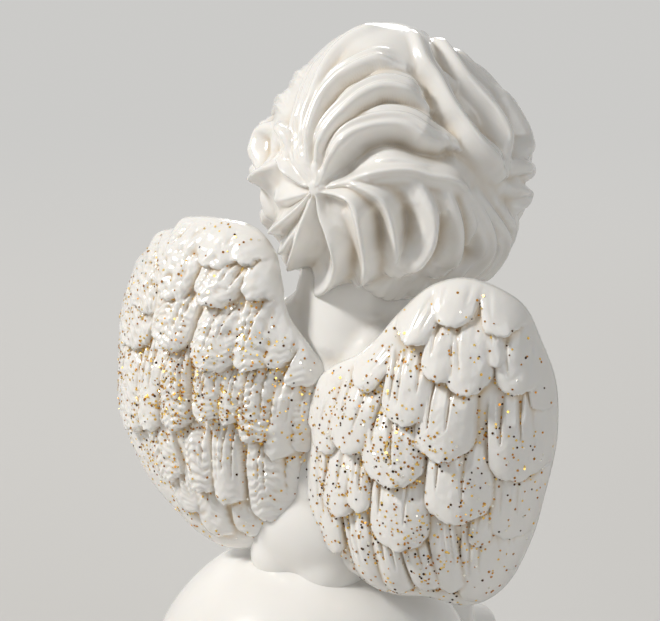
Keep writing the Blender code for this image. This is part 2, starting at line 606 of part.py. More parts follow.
def feather_relief(x, z, feathers):
    """Height of the overlapping feathers at a point of the wing's outline plane."""
    relief = 0.0
    for tip_x, tip_z, root_x, root_z, width, lift in feathers:
        length = math.hypot(root_x - tip_x, root_z - tip_z)
        to_x, to_z = (root_x - tip_x) / length, (root_z - tip_z) / length
        across = (x - tip_x) * to_z - (z - tip_z) * to_x
        up = (x - tip_x) * to_x + (z - tip_z) * to_z
        along = up / (FEATHER_OVERLAP * length)
        if not 0 < along < 1:
            continue
        broad = FEATHER_OVERLAP * width
        round_tip = math.sqrt(1 - max(0.0, 1 - up / (0.46 * broad)) ** 2.8)
        rim = 1 - (2 * across / (broad * max(round_tip, 0.01))) ** 2
        if rim > 0:
            fade = 1 - float(smooth_step(0.6, 1.0, along))
            puff = 0.35 + 0.65 * rim**0.55
            relief = max(relief, FEATHER_LIFT * lift * (1 - 0.55 * along) * fade * puff)
    return relief


def wing_point(x, z, offset):
    """A point of the domed wing, offset along Y from its middle surface."""
    dome = WING_DOME[0] * (x / WING_REACH[0]) ** 2 + WING_DOME[1] * (z / WING_REACH[1]) ** 2
    return Vector((x, offset - dome, z))


def wing_mesh(hand):
    """A domed shield: a feathered back, a plain hollow front and a rounded rim."""
    feathers = LEFT_FEATHERS if hand > 0 else RIGHT_FEATHERS
    corners = LEFT_WING_OUTLINE if hand > 0 else RIGHT_WING_OUTLINE
    outline = closed_curve(corners, WING_SPOKES)
    loops = []
    back_shares = [i / WING_RINGS for i in range(1, WING_RINGS + 1)]
    front_shares = [i / WING_FRONT_RINGS for i in range(WING_FRONT_RINGS, 0, -1)]
    for face, shares in ((1, back_shares), (-1, front_shares)):
        for share in shares:
            half = WING_RIM_THICKNESS / 2 + (WING_HALF_THICKNESS - WING_RIM_THICKNESS / 2) * (1 - share**3)
            loop = []
            for edge in outline:
                x, z = edge * share
                relief = feather_relief(x, z, feathers) * (1 - share**10) if face > 0 else 0.0
                loop.append(wing_point(x, z, face * half + relief))
            loops.append(loop)
    back = wing_point(0, 0, WING_HALF_THICKNESS + feather_relief(0, 0, feathers))
    builder = loft(loops, back, wing_point(0, 0, -WING_HALF_THICKNESS))
    builder.transform(wing_matrix())
    bmesh.ops.scale(builder, vec=(hand, 1, 1), verts=builder.verts)
    return builder


def make_wing(side, hand, body):
    """A wing, cut to lie on the torso and to stay clear of the hair."""
    wing = new_object(f"{side}_wing", wing_mesh(hand), RESIN, body)
    apply_boolean(wing, new_object("cutter", torso_mesh(GLUE_GAP), RESIN, body), "DIFFERENCE")
    hair = bmesh.new()
    bmesh.ops.create_icosphere(hair, subdivisions=4, radius=HAIR_CLEAR_RADIUS)
    bmesh.ops.translate(hair, vec=HEAD_CENTRE, verts=hair.verts)
    apply_boolean(wing, new_object("cutter", hair), "DIFFERENCE")
    return wing


def make_pin(name, ends, radius, pieces, frame=None):
    """A steel pin, with its hole drilled in each of the pieces that it joins."""
    for piece in pieces:
        drill(piece, ends, radius, frame)
    return new_object(name, rod_mesh(ends, radius), STEEL, frame)


def make_torso(body):
    torso = new_object("torso", torso_mesh(), RESIN, body)
    apply_boolean(torso, new_object("cutter", ball_mesh(GLUE_GAP)), "DIFFERENCE")
    return torso


def main():
    for old in list(bpy.data.objects):
        bpy.data.objects.remove(old)
    body = new_frame("upper_body_frame", lean_matrix())
    head_frame = new_frame("head_frame", head_matrix())
    bpy.context.view_layer.update()

    ball = make_ball_base()
    new_object("base_felt_pad", disc_mesh(FELT_RADIUS, 0.0, FELT_THICKNESS), FELT)
    torso = make_torso(body)
    head = make_head(head_frame, body)
    make_pin("seat_dowel", SEAT_DOWEL_ENDS, DOWEL_RADIUS, (ball, torso))
    make_pin("neck_dowel", NECK_DOWEL_ENDS, DOWEL_RADIUS, (torso, head), body)
    for side, hand in (("left", 1), ("right", -1)):
        leg = make_leg(side, hand, body)
        arm = make_arm(side, hand, body)
        wing = make_wing(side, hand, body)
        make_pin(f"{side}_leg_pin", mirrored(LEG_PIN_ENDS, hand, SEAT.x), LIMB_PIN_RADIUS, (leg, torso))
        make_pin(f"{side}_arm_pin", mirrored(ARM_PIN_ENDS, hand), LIMB_PIN_RADIUS, (arm, torso), body)
        for level, (x, z) in WING_PIN_SPOTS.items():
            ends = [Vector((x * hand, y, z)) for y in WING_PIN_SPAN_Y]
            make_pin(f"{side}_wing_pin_{level}", ends, WING_PIN_RADIUS, (wing, torso), body)


main()
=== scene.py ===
"""Seated resin angel on a ball: the castings, their glitter and their finishes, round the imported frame.

Shapes are worked out in millimetres and become metres where a mesh is made. +Z is up, the figure
faces -Y and its left side is +X.
"""

import math
import random

import bpy
import numpy as np
from mathutils import Matrix, Vector


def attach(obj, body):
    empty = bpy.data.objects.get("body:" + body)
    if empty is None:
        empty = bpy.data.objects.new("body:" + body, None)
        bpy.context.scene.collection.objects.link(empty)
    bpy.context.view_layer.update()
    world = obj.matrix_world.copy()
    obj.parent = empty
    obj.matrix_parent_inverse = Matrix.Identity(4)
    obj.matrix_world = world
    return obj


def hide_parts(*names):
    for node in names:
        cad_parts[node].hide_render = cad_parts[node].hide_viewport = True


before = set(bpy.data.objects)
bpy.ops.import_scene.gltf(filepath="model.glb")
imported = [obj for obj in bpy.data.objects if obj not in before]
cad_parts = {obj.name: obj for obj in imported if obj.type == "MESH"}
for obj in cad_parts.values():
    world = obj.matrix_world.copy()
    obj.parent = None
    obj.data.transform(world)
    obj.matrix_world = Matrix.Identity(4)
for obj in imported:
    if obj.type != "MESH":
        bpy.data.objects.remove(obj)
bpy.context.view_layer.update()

MM = 0.001
SEED = 20

# The figure's place, as in the part
BALL_CENTRE = Vector((0.0, 0.0, 16.5))
BALL_RADIUS = 20.0
BALL_FOOT = 0.5
SEAT = Vector((-1.3, 2.0, 34.5))
LEAN_RIGHT = math.radians(6.0)
LEAN_FORWARD = math.radians(6.0)
HEAD_CENTRE = Vector((-7.6, -5.0, 80.8))
HEAD_TIPPED_BACK = math.radians(10.0)
WING_MIDDLE = Vector((14.3, 10.8, 53.4))
WING_SWEEP_FORWARD = math.radians(10.0)
WING_TIPPED_BACK = math.radians(7.0)

# Skull and hair. Bearings go round the head from its back towards its right, and heights are above
# its equator, both in degrees. Ridges: route, crest height, flank width left and right of the route,
# and 1 for a sharp crest or 2 for a round one
SKULL_RADII = np.array((13.6, 14.0, 14.4))
CROWN_TAPER = 1.6
HAIR_COVER = 0.3
WHORL = (-9, 10)
HAIR_RIDGES = {
    "crown_1": (((-8, 12), (-6, 17), (-2, 25), (5, 33), (15, 37), (26, 38), (35, 36), (42, 31), (51, 27)), 2.9, 3.0, 0.8, 2),
    "crown_2": (((-9, 13), (-10, 20), (-10, 28), (-6, 38), (1, 46), (10, 52), (25, 55), (40, 52), (52, 46)), 2.8, 2.6, 0.8, 2),
    "crown_3": (((-11, 13), (-15, 21), (-18, 33), (-21, 46), (-16, 57), (-2, 64), (20, 68), (46, 66)), 2.7, 2.4, 0.8, 2),
    "crown_4": (((-12, 12), (-19, 22), (-26, 35), (-30, 48), (-38, 62), (-45, 74), (-38, 85), (88, 84)), 2.5, 2.2, 1.3, 2),
    "crown_5": (((-14, 12), (-23, 22), (-31, 34), (-38, 46), (-48, 58), (-65, 68)), 2.2, 2.0, 1.6, 2),
    "leaf_rim": (((-58, 28), (-69, 19), (-65, 11), (-57, 6)), 2.6, 0.9, 0.9, 2),
    "leaf_fold": (((-58, 28), (-40, 29), (-32, 26), (-31, 20)), 2.4, 0.7, 0.7, 2),
    "star_1": (((-11, 11), (-16, 11), (-24, 14), (-35, 17)), 2.6, 0.7, 1.1, 1),
    "star_1_tip": (((-35, 17), (-46, 8), (-61, -2)), 2.6, 0.8, 1.0, 1),
    "star_2": (((-61, -2), (-58, -9), (-56, -15)), 2.3, 0.9, 0.9, 1),
    "star_2_fold": (((-12, 8), (-22, 4), (-35, -1)), 1.7, 0.9, 0.9, 1),
    "star_3": (((-12, 7), (-17, 1), (-26, -7), (-43, -18)), 2.7, 0.8, 0.6, 1),
    "star_4": (((-12, 5), (-17, -7), (-31, -21), (-48, -29)), 2.3, 0.8, 0.8, 1),
    "star_5": (((-10, 7), (-14, -4), (-20, -17), (-43, -38)), 2.7, 0.7, 0.9, 1),
    "star_6": (((-8, 7), (-6, 0), (-2, -7), (0, -16), (-3, -26), (-13, -37), (-36, -47)), 2.9, 0.8, 0.8, 1),
    "nape_1": (((-6, 9), (2, 9), (8, 7), (11, 1), (12, -9), (12, -20), (9, -30), (4, -37)), 2.7, 0.8, 0.8, 1),
    "nape_2": (((-4, 11), (5, 14), (14, 12), (21, 7), (24, -3), (25, -13), (24, -21), (22, -27)), 2.4, 0.7, 0.9, 1),
    "fall_3": (((27, 18), (34, 12), (38, 4), (40, -5), (37, -14), (31, -22), (25, -28)), 3.2, 0.9, 1.4, 2),
    "fall_4": (((38, 15), (45, 10), (48, 1), (50, -10), (50, -22), (47, -33)), 2.8, 0.9, 1.5, 2),
    "under_fall_1": (((28, -38), (20, -48), (8, -56)), 1.5, 2.4, 2.4, 2),
    "under_fall_2": (((50, -40), (42, -50), (32, -57)), 1.6, 2.2, 2.4, 2),
    "fall_4_fold": (((49, 11), (55, 2), (58, -8), (58, -20)), 2.4, 0.8, 0.9, 1),
    "fall_5": (((55, 6), (61, -3), (66, -14), (69, -26), (64, -38), (56, -47)), 2.9, 0.8, 1.9, 2),
    "fall_6": (((62, 0), (71, -12), (82, -27), (84, -42), (77, -54)), 2.9, 0.9, 1.6, 2),
    "band": (((-3, 12), (6, 15), (16, 18), (26, 19), (34, 18), (41, 15), (49, 12), (55, 7), (58, 2)), 2.6, 0.8, 1.4, 1),
    "band_lip": (((10, 21), (18, 23), (28, 23), (39, 20), (49, 16)), 1.6, 0.8, 0.8, 1),
    "valley_thread": (((14, 28), (23, 29), (32, 27)), 0.8, 0.35, 0.35, 1),
    "diagonal_1": (((144, 78), (69, 66), (67, 54), (66, 41), (69, 26), (75, 14), (81, 6)), 2.6, 1.8, 1.1, 2),
    "diagonal_2": (((150, 66), (112, 62), (97, 52), (95, 42), (95, 30), (92, 20), (87, 9)), 2.5, 1.4, 1.2, 2),
    "diagonal_tip": (((66, 63), (79, 57), (86, 51)), 2.4, 0.8, 0.9, 1),
    "lobe_1": (((128, 40), (118, 30), (116, 19), (113, 8), (100, 4)), 2.7, 1.2, 1.2, 2),
    "lobe_2": (((85, 7), (105, -2), (94, -3)), 2.6, 0.9, 1.0, 2),
    "lobe_3": (((83, -2), (106, -13), (93, -14), (88, -20)), 2.6, 0.9, 1.0, 1),
    "lobe_4": (((76, -8), (89, -24), (93, -36), (88, -43)), 2.5, 1.1, 1.2, 1),
    "right_temple_1": (((150, 60), (128, 54), (122, 40), (122, 18), (114, 0)), 2.4, 1.7, 1.7, 2),
    "fringe_1": (((108, 74), (126, 56), (136, 36), (138, 18), (133, 3)), 2.6, 1.8, 1.3, 2),
    "fringe_2": (((96, 80), (130, 73), (148, 58), (156, 42), (154, 26), (146, 13)), 2.6, 1.7, 1.2, 2),
    "fringe_3": (((70, 86), (152, 77), (168, 60), (173, 46), (170, 32), (161, 21)), 2.7, 1.6, 1.2, 2),
    "fringe_4": (((-70, 86), (-158, 78), (-172, 62), (-174, 48), (-179, 36), (174, 27)), 2.5, 1.5, 1.2, 2),
    "fringe_5": (((-82, 79), (-132, 74), (-150, 60), (-158, 46), (-163, 33), (-172, 23)), 2.7, 1.7, 1.2, 2),
    "fringe_6": (((-76, 70), (-112, 67), (-132, 54), (-143, 40), (-149, 26), (-157, 14)), 2.6, 1.7, 1.3, 2),
    "left_temple_1": (((-100, 62), (-120, 50), (-134, 32), (-141, 10)), 2.4, 1.9, 1.5, 2),
    "left_temple_2": (((-112, 40), (-126, 26), (-128, 6), (-118, -14)), 2.4, 1.7, 1.4, 2),
    "right_side": (((98, -18), (105, -28), (107, -40), (101, -52)), 2.3, 1.3, 1.3, 2),
    "right_cheek_1": (((112, 34), (124, 22), (130, 6), (126, -8), (119, -12)), 2.5, 1.1, 1.2, 2),
    "right_cheek_2": (((110, 8), (122, -2), (128, -16), (123, -28), (116, -30)), 2.4, 1.1, 1.2, 2),
    "right_cheek_3": (((106, -12), (116, -24), (120, -36), (113, -46)), 2.3, 1.1, 1.2, 2),
    "left_cheek_1": (((-114, 30), (-126, 20), (-132, 4), (-127, -10), (-120, -13)), 2.5, 1.2, 1.1, 2),
    "left_cheek_2": (((-110, 4), (-123, -5), (-129, -18), (-124, -30), (-117, -32)), 2.4, 1.2, 1.1, 2),
    "left_cheek_3": (((-104, -16), (-115, -27), (-119, -38), (-112, -47)), 2.3, 1.2, 1.1, 2),
    "left_side_1": (((-38, 52), (-62, 52), (-92, 40), (-112, 14)), 2.4, 2.0, 1.6, 2),
    "left_side_2": (((-44, 38), (-66, 38), (-90, 24), (-106, 0)), 2.4, 1.8, 1.5, 2),
    "left_side_3": (((-62, 24), (-76, 20), (-92, 6), (-102, -16)), 2.4, 1.7, 1.4, 2),
    "left_side_4": (((-60, 0), (-76, -2), (-88, -14), (-93, -36)), 2.5, 1.4, 1.2, 2),
    "left_side_5": (((-56, -14), (-68, -20), (-76, -32), (-76, -48)), 2.4, 1.2, 1.1, 2),
    "left_side_6": (((-46, -28), (-56, -36), (-60, -50)), 2.3, 1.2, 1.0, 2),
}
HAIR_SWELLINGS = {
    "left_crown": (-75, 58, 38, 2.0), "top": (60, 86, 26, 1.9), "right_front": (120, 40, 26, 1.6),
    "whorl": (-9, 10, 4.5, 1.35),
}
HAIR_HOLLOWS = {
    "under_crown_1": (((-4, 14), (2, 19), (8, 26), (16, 32), (25, 33), (34, 30), (44, 24), (59, 21)), 1.5, 1.1),
    "under_crown_2": (((-8, 18), (-6, 27), (-1, 37), (7, 43), (16, 48), (24, 51), (39, 49), (50, 44)), 0.6, 0.4),
    "under_crown_3": (((-12, 19), (-15, 32), (-14, 45), (-8, 56), (5, 61), (20, 65)), 0.6, 0.4),
    "under_crown_4": (((-17, 21), (-23, 35), (-26, 47), (-29, 62), (-28, 72)), 0.35, 0.4),
    "leaf": (((-51, 22), (-46, 15)), 0.8, 0.8),
    "beside_leaf": (((-34, 36), (-26, 27), (-22, 20)), 0.8, 1.2),
    "star_petal": (((-10, -5), (-10, -16), (-15, -28)), 0.6, 1.3),
    "nape_pit": (((17, 4), (18, 0), (18, -10), (17, -18)), 1.5, 0.9),
    "fall_3_pit": (((30, 5), (31, 0), (31, -10), (28, -17)), 1.4, 1.0),
    "fall_4_pit": (((44, 0), (45, -8), (45, -18), (41, -27)), 1.5, 1.0),
    "fall_5_pit": (((56, -24), (62, -30), (60, -44)), 0.8, 1.0),
    "beside_diagonal": (((56, 62), (56, 50), (57, 40), (61, 33), (62, 27)), 0.9, 0.7),
    "right_valley": (((78, 51), (76, 41), (76, 30), (79, 19)), 0.7, 1.0),
}
RIDGE_SAMPLES = 90
# Millimetres over which a lock rises to its full height
LOCK_START = 4.0
SOFT_STARTS = {"fringe": 11.0, "fall": 8.0}
CREST_ROUNDING = 0.35
FLUTE_SPACING = 1.15
FLUTE_DEPTH = 0.07

# Face, in degrees to its left and up from its middle: middle, half sizes and height of each swelling
FACE_MIDDLE_LATITUDE = -20
FACE_HALF_ANGLES = (51, 54)
FACE_SWELLINGS = {
    "forehead": (0, 16, 26.0, 13.0, 0.5),
    "nose_bridge": (0, -5, 4.8, 9.0, 1.1),
    "nose_tip": (0, -14.5, 6.4, 5.8, 1.75),
    "muzzle": (0, -29, 15.0, 9.0, 0.8),
    "chin": (0, -46, 13.0, 8.0, 1.6),
    "under_lip": (0, -38.5, 9.0, 2.8, -0.4),
    "lower_lip": (0, -33, 6.4, 3.0, 0.7),
    "philtrum": (0, -23, 1.8, 2.6, -0.4),
}
PAIRED_FACE_SWELLINGS = {
    "brow": (19, 9.5, 12.0, 4.6, 0.5),
    "eye_socket": (20, -2.5, 11.0, 7.0, -1.5),
    "eyelid": (20, -3.4, 8.0, 4.8, 1.6),
    "nostril": (5.6, -16.2, 3.0, 2.7, 0.8),
    "cheek": (29, -22, 14.0, 11.0, 2.0),
    "upper_lip": (3.6, -28, 5.0, 2.4, 0.6),
    "mouth_corner": (11.2, -29.8, 2.4, 2.2, -0.7),
    "jaw": (28, -42, 15.0, 10.0, 0.8),
}
FACE_LINES = {"mouth": (((-11.2, -29.4), (-5, -30.4), (0, -30.2), (5, -30.4), (11.2, -29.4)), -0.85, 0.34)}
PAIRED_FACE_LINES = {
    "lashes": (((11.2, -3.6), (15.5, -7.0), (20.0, -8.2), (24.8, -7.0), (29.0, -3.2)), -0.6, 0.3),
    "lid_edge": (((11.8, -2.2), (15.8, -5.5), (20.0, -6.6), (24.4, -5.5), (28.4, -1.6)), 0.34, 0.32),
    "lid_crease": (((11.4, 0.2), (15.5, 3.4), (20.0, 4.2), (24.6, 3.2), (28.6, 0.2)), -0.25, 0.5),
}

# Wings, in each wing's outline plane: outwards and up
WING_OUTLINES = {
    "right": (
        (2.6, 19.3), (7.9, 17.4), (10.8, 13.2), (13.0, 8.4), (13.9, 2.0), (13.5, -4.5), (12.7, -10.5),
        (10.6, -16.6), (7.0, -19.4), (2.4, -18.8), (-1.8, -19.4), (-5.6, -18.6), (-11.4, -16.4), (-14.4, -11.0),
        (-15.2, -4.5), (-15.0, 1.6), (-12.2, 5.8), (-8.2, 9.2), (-4.8, 14.4), (-1.6, 18.0),
    ),
    "left": (
        (0.5, 19.9), (5.2, 18.9), (6.4, 17.5), (9.8, 15.9), (10.8, 14.1), (13.6, 11.7), (14.4, 9.9), (16.4, 4.6),
        (16.9, -2.6), (14.2, -8.8),
        (9.2, -13.2), (4.0, -16.0), (-0.6, -18.6), (-4.6, -19.4), (-9.6, -17.6), (-13.2, -14.4), (-14.8, -9.6),
        (-15.2, -3.0), (-15.0, 3.4), (-12.8, 7.2), (-10.1, 10.8), (-8.8, 14.4), (-7.4, 17.6), (-4.4, 19.8),
    ),
}
WING_REACH = (15.0, 19.0)
WING_DOME = (6.0, 3.0)
WING_HALF_THICKNESS = 1.7
WING_RIM_THICKNESS = 1.5
WING_SPOKES = 140
WING_RINGS = 35
BACK_RINGS = 0.8

# Feathers: tip and root in the outline plane, width and share of the full lift, from the top down
FEATHERS = {
    "right": (
        (-3.2, 12.2, -1.4, 17.4, 4.3, 1.0),
        (1.1, 14.7, 1.5, 19.5, 4.6, 0.8),
        (7.6, 14.5, 5.8, 19.0, 4.7, 1.0),
        (1.0, 8.9, 1.2, 15.0, 4.1, 1.0),
        (4.6, 8.0, 2.9, 15.3, 4.8, 1.15),
        (7.1, 11.2, 5.2, 15.2, 2.0, 0.8),
        (10.0, 8.3, 8.1, 14.7, 4.7, 0.9),
        (12.6, 6.3, 10.4, 12.9, 2.7, 0.7),
        (-2.0, 3.5, -2.2, 10.6, 5.3, 1.1),
        (-8.1, 5.9, -5.4, 10.3, 3.2, 0.8),
        (-8.6, -1.7, -7.4, 5.8, 5.0, 1.0),
        (2.8, 0.3, 2.2, 8.7, 6.1, 1.2),
        (11.2, -1.5, 9.4, 7.4, 6.0, 1.1),
        (-2.4, -3.9, -3.3, 3.9, 7.0, 1.2),
        (5.2, -6.9, 4.4, 1.6, 6.9, 1.25),
        (-0.8, -11.5, -1.7, -3.4, 6.5, 1.2),
        (11.1, -9.1, 10.5, -0.9, 4.8, 0.6),
        (7.7, -10.0, 7.7, -5.3, 2.3, 0.7),
        (-8.9, -10.0, -8.4, -1.9, 3.8, 0.9),
        (-6.1, -8.3, -6.8, -1.9, 3.1, 0.9),
        (-3.3, -19.5, -6.7, -9.1, 3.3, 1.0),
        (-0.4, -18.2, -3.4, -9.5, 3.0, 1.0),
        (3.0, -16.7, 0.1, -9.9, 3.1, 0.9),
        (5.4, -16.5, 3.0, -6.7, 2.9, 0.8),
        (8.8, -18.5, 8.0, -7.4, 4.9, 0.7),
        (11.5, -13.8, 10.7, -6.1, 3.3, 0.6),
        (-11.8, -3.2, -10.4, 3.9, 3.5, 0.8),
        (-9.1, -15.5, -10.7, -7.6, 3.4, 0.8),
        (-11.7, -12.9, -12.5, -3.6, 3.0, 0.7),
        (-13.3, -1.4, -12.5, 4.5, 3.1, 0.6),
    ),
    "left": (
        (5.2, 13.4, 2.3, 19.0, 8.7, 0.9),
        (-1.3, 15.3, -2.2, 20.4, 5.6, 0.8),
        (-5.7, 16.2, -4.9, 20.6, 4.4, 0.8),
        (9.4, 8.4, 5.9, 15.5, 8.2, 0.9),
        (3.8, 10.9, 1.8, 16.3, 5.1, 1.0),
        (-2.5, 11.3, -3.4, 16.0, 5.0, 1.1),
        (-7.7, 12.5, -7.2, 16.9, 3.3, 0.9),
        (10.6, 3.1, 9.5, 9.6, 8.5, 0.9),
        (2.7, 5.1, 1.5, 12.2, 5.7, 1.1),
        (-3.6, 4.1, -4.6, 11.7, 5.2, 1.2),
        (-8.0, 4.7, -7.9, 12.3, 3.3, 1.1),
        (-10.6, 5.3, -9.9, 11.1, 2.4, 0.8),
        (9.1, -7.1, 9.3, 3.7, 7.1, 0.9),
        (4.7, -5.4, 4.8, 4.6, 3.9, 1.0),
        (0.3, -4.0, 1.4, 5.5, 4.0, 1.1),
        (-4.0, -1.8, -3.5, 5.5, 3.5, 1.2),
        (-6.6, -1.8, -6.2, 4.9, 2.4, 1.0),
        (-9.4, -3.6, -8.6, 5.2, 3.2, 1.2),
        (-11.6, -5.4, -11.4, 4.4, 2.6, 1.0),
        (-12.7, 3.2, -13.4, 8.1, 2.5, 0.9),
        (-13.7, -4.5, -13.6, 2.9, 2.3, 0.9),
        (1.4, -11.1, 3.9, -3.7, 4.4, 0.8),
        (-3.4, -11.0, -2.0, -2.9, 3.2, 1.1),
        (-6.5, -11.9, -5.7, -2.1, 3.0, 1.1),
        (-11.4, -13.9, -10.4, -3.5, 4.8, 1.1),
        (-1.2, -14.6, 1.2, -9.2, 3.6, 0.6),
        (-4.2, -17.2, -3.0, -9.9, 3.5, 0.6),
        (-8.1, -16.3, -7.5, -9.6, 3.2, 0.6),
    ),
}
# Depth in mm below the smoothed surface at which the wings' painted crevice shade is full; the same mark sets where
# glitter gathers
WING_CREVICE_DEPTH = {"left": 0.24, "right": 0.32}
FEATHER_LIFT = 2.0
FRONT_SHARE = 0.35
GROOVE_DEPTH = 0.6
GROOVE_WIDTH = 0.34
BARB_SPACING = 0.95
BARB_SLANT = 0.6
BARB_DEPTH = {"left": 0.19, "right": 0.018}
RUFFLE = {"left": 0.16, "right": 0.1}
HAMMER_WAVE = 2.0
HAMMER_HEIGHT = {"left": 0.14, "right": 0.03}

# Trunk in the upright body: middle and radii of each lump, then the neck's path and radius
TRUNK_LUMPS = {
    "upper_back": ((0, 2.4, 56.0), (9.0, 6.8, 8.4)),
    "waist": ((0, 1.6, 46.0), (8.6, 7.3, 9.0)),
    "hips": ((0, 2.6, 39.4), (8.6, 7.0, 7.2)),
    "left_seat": ((2.9, 3.4, 35.4), (4.4, 5.0, 4.8)),
    "right_seat": ((-2.9, 3.4, 35.4), (4.4, 5.0, 4.8)),
    "shoulders": ((0, 1.4, 60.4), (10.8, 5.4, 5.0)),
    "chest": ((0, 0.2, 56.0), (8.4, 5.9, 6.8)),
    "collar": ((0, 0.9, 62.4), (7.6, 5.6, 4.6)),
    "ribs": ((0, 0.3, 50.6), (8.4, 6.4, 5.2)),
    "belly": ((0, -0.5, 45.0), (7.8, 7.2, 7.6)),
    "left_wing_root": ((4.8, 5.2, 57.5), (4.6, 4.2, 8.0)),
    "right_wing_root": ((-4.8, 5.2, 57.5), (4.6, 4.2, 8.0)),
}
NECK_PATH = ((0, 2.4, 58, 7.0), (0, 1.6, 65, 6.8), (0, 0.2, 73, 6.8))
SHOULDER_SLOPE = ((0, 1.6, 67.0, 5.0), (5.0, 1.3, 62.4, 3.9), (9.4, 0.9, 60.2, 3.0))

# Limbs, for the left side: X, Y, Z and radius
LEG_PATH = (
    (4.2, 3.4, 37.4, 4.8), (5.6, -2.0, 38.4, 5.4), (6.4, -9.0, 39.8, 5.5), (7.4, -16.5, 38.8, 4.9), (7.5, -20.8, 31.0, 4.9),
    (6.9, -23.2, 22.5, 3.4), (6.8, -24.0, 18.0, 3.1), (6.8, -24.6, 15.4, 2.6),
)
LEG_LUMPS = {
    "hip": ((4.6, 0.4, 38.8), (5.5, 6.2, 5.4)),
    "knee": ((7.4, -19.0, 37.6), (3.9, 3.4, 3.8)),
    "calf": ((7.4, -20.0, 30.4), (4.5, 4.2, 8.0)),
    "heel": ((6.7, -22.2, 17.3), (2.8, 2.7, 2.9)),
}
FOOT_PATH = ((6.6, -20.6, 17.6, 2.6), (7.0, -25.6, 16.9, 3.0), (7.8, -29.6, 15.6, 2.9), (8.2, -32.6, 14.6, 2.4))
TOES = ((-1.8, -31.9, 1.45), (-0.3, -32.5, 1.15), (0.95, -32.2, 1.05), (2.0, -31.5, 0.95), (2.8, -30.6, 0.85))
UPPER_ARM = ((4.6, 1.5, 62.6, 2.8), (8.4, 1.0, 60.8, 3.7), (10.6, 0.1, 57.4, 4.0), (12.4, -2.8, 50.6, 3.5))
SHOULDER = (9.2, 0.8, 59.4)
SHOULDER_RADII = (3.8, 4.1, 4.8)
FOREARM = ((8.4, -11.0, 47.2, 2.4), (7.2, -15.4, 45.2, 2.2))
PALM_RADII = (2.9, 3.2, 1.7)
FINGERS = ((-1.95, 0.0), (-0.65, 0.5), (0.65, 0.45), (1.9, -0.2))

# Colours
RESIN_WHITE = (0.88, 0.862, 0.83)
# Painted shade: the beige laid into the hair's and body's crevices
BEIGE_CREVICE_SHADE = (0.63, 0.52, 0.37)
# Painted shade in the wings' crevices, gold-brown, which also stands for the brownish smears on the wings
GOLD_SHADE_AND_WASH = (0.60, 0.44, 0.24)
GLITTER_COLOURS = {
    "gold": ((0.80, 0.48, 0.09), (0.95, 0.70, 0.24)),
    "amber": ((0.36, 0.14, 0.03), (0.68, 0.34, 0.07)),
    "bronze": ((0.035, 0.02, 0.012), (0.12, 0.06, 0.025)),
    "pearl": ((0.90, 0.86, 0.74), (0.98, 0.96, 0.90)),
}
GLITTER_SHARES = {
    "left": {"gold": 0.49, "amber": 0.31, "bronze": 0.07, "pearl": 0.13},
    "right": {"gold": 0.34, "amber": 0.35, "bronze": 0.19, "pearl": 0.12},
}
GLITTER_COUNTS = {"left": 2100, "right": 1550}
BACKDROP = (0.60, 0.595, 0.58, 1)
FLOOR_FADE = (0.14, 0.5)
FLAKE_RADIUS = 0.135
FLAKE_THICKNESS = 0.05


# Placing

def lean_matrix():
    turn = Matrix.Rotation(-LEAN_RIGHT, 4, "Y") @ Matrix.Rotation(LEAN_FORWARD, 4, "X")
    return Matrix.Translation(SEAT) @ turn @ Matrix.Translation((0.0, -SEAT.y, -SEAT.z))


def head_matrix():
    return Matrix.Translation(HEAD_CENTRE) @ Matrix.Rotation(-HEAD_TIPPED_BACK, 4, "X")


def wing_matrix():
    turn = Matrix.Rotation(-WING_SWEEP_FORWARD, 4, "Z") @ Matrix.Rotation(-WING_TIPPED_BACK, 4, "X")
    return Matrix.Translation(WING_MIDDLE) @ turn


def mirrored(points, hand, middle=0.0):
    return [Vector((middle + p[0] * hand, *p[1:])) for p in points]


def curve_through(points, count):
    """Points spread along a smooth curve through the given ones."""
    knots = [Vector(p) for p in points]
    knots = [2 * knots[0] - knots[1], *knots, 2 * knots[-1] - knots[-2]]
    spans = len(knots) - 3
    found = []
    for i in range(count):
        span = min(int(i / (count - 1) * spans), spans - 1)
        t = i / (count - 1) * spans - span
        a, b, c, d = knots[span : span + 4]
        bend = (c - a) * t + (2 * a - 5 * b + 4 * c - d) * t**2 + (3 * b - a - 3 * c + d) * t**3
        found.append(b + 0.5 * bend)
    return found


def closed_curve(corners, count):
    """Points spread round a smooth closed curve through flat corners."""
    twice = [Vector((*p, 0.0)) for p in (*corners, *corners, *corners, corners[0])]
    return [p.xy for p in curve_through(twice, 3 * count + 1)[count : 2 * count]]


def smooth_step(low, high, values):
    t = np.clip((values - low) / (high - low), 0, 1)
    return t * t * (3 - 2 * t)


# Mesh helpers

def deselect_all():
    bpy.ops.object.select_all(action="DESELECT")


def points_of(piece):
    flat = np.empty(len(piece.data.vertices) * 3)
    piece.data.vertices.foreach_get("co", flat)
    return flat.reshape(-1, 3)


def set_points(piece, points):
    piece.data.vertices.foreach_set("co", np.ascontiguousarray(points).ravel())
    piece.data.update()


def moved(points, matrix):
    turn = np.array(matrix.to_3x3())
    return points @ turn.T + np.array(matrix.translation)


def add_ball(segments, rings, splits=0):
    """A fresh unit sphere, alone selected, its faces split in four as often as asked."""
    deselect_all()
    bpy.ops.mesh.primitive_uv_sphere_add(segments=segments, ring_count=rings, radius=1.0, calc_uvs=False)
    ball = bpy.context.active_object
    if splits:
        finer = ball.modifiers.new("finer", "SUBSURF")
        finer.subdivision_type = "SIMPLE"
        finer.levels = splits
        bpy.ops.object.modifier_apply(modifier=finer.name)
        points = points_of(ball)
        set_points(ball, points / np.linalg.norm(points, axis=1, keepdims=True))
    return ball


def swelling(middle, radii, matrix=None):
    """A rounded lump of clay, in millimetres."""
    lump = add_ball(32, 20)
    points = points_of(lump) * np.array(radii) + np.array(middle)
    set_points(lump, moved(points, matrix) if matrix else points)
    return lump


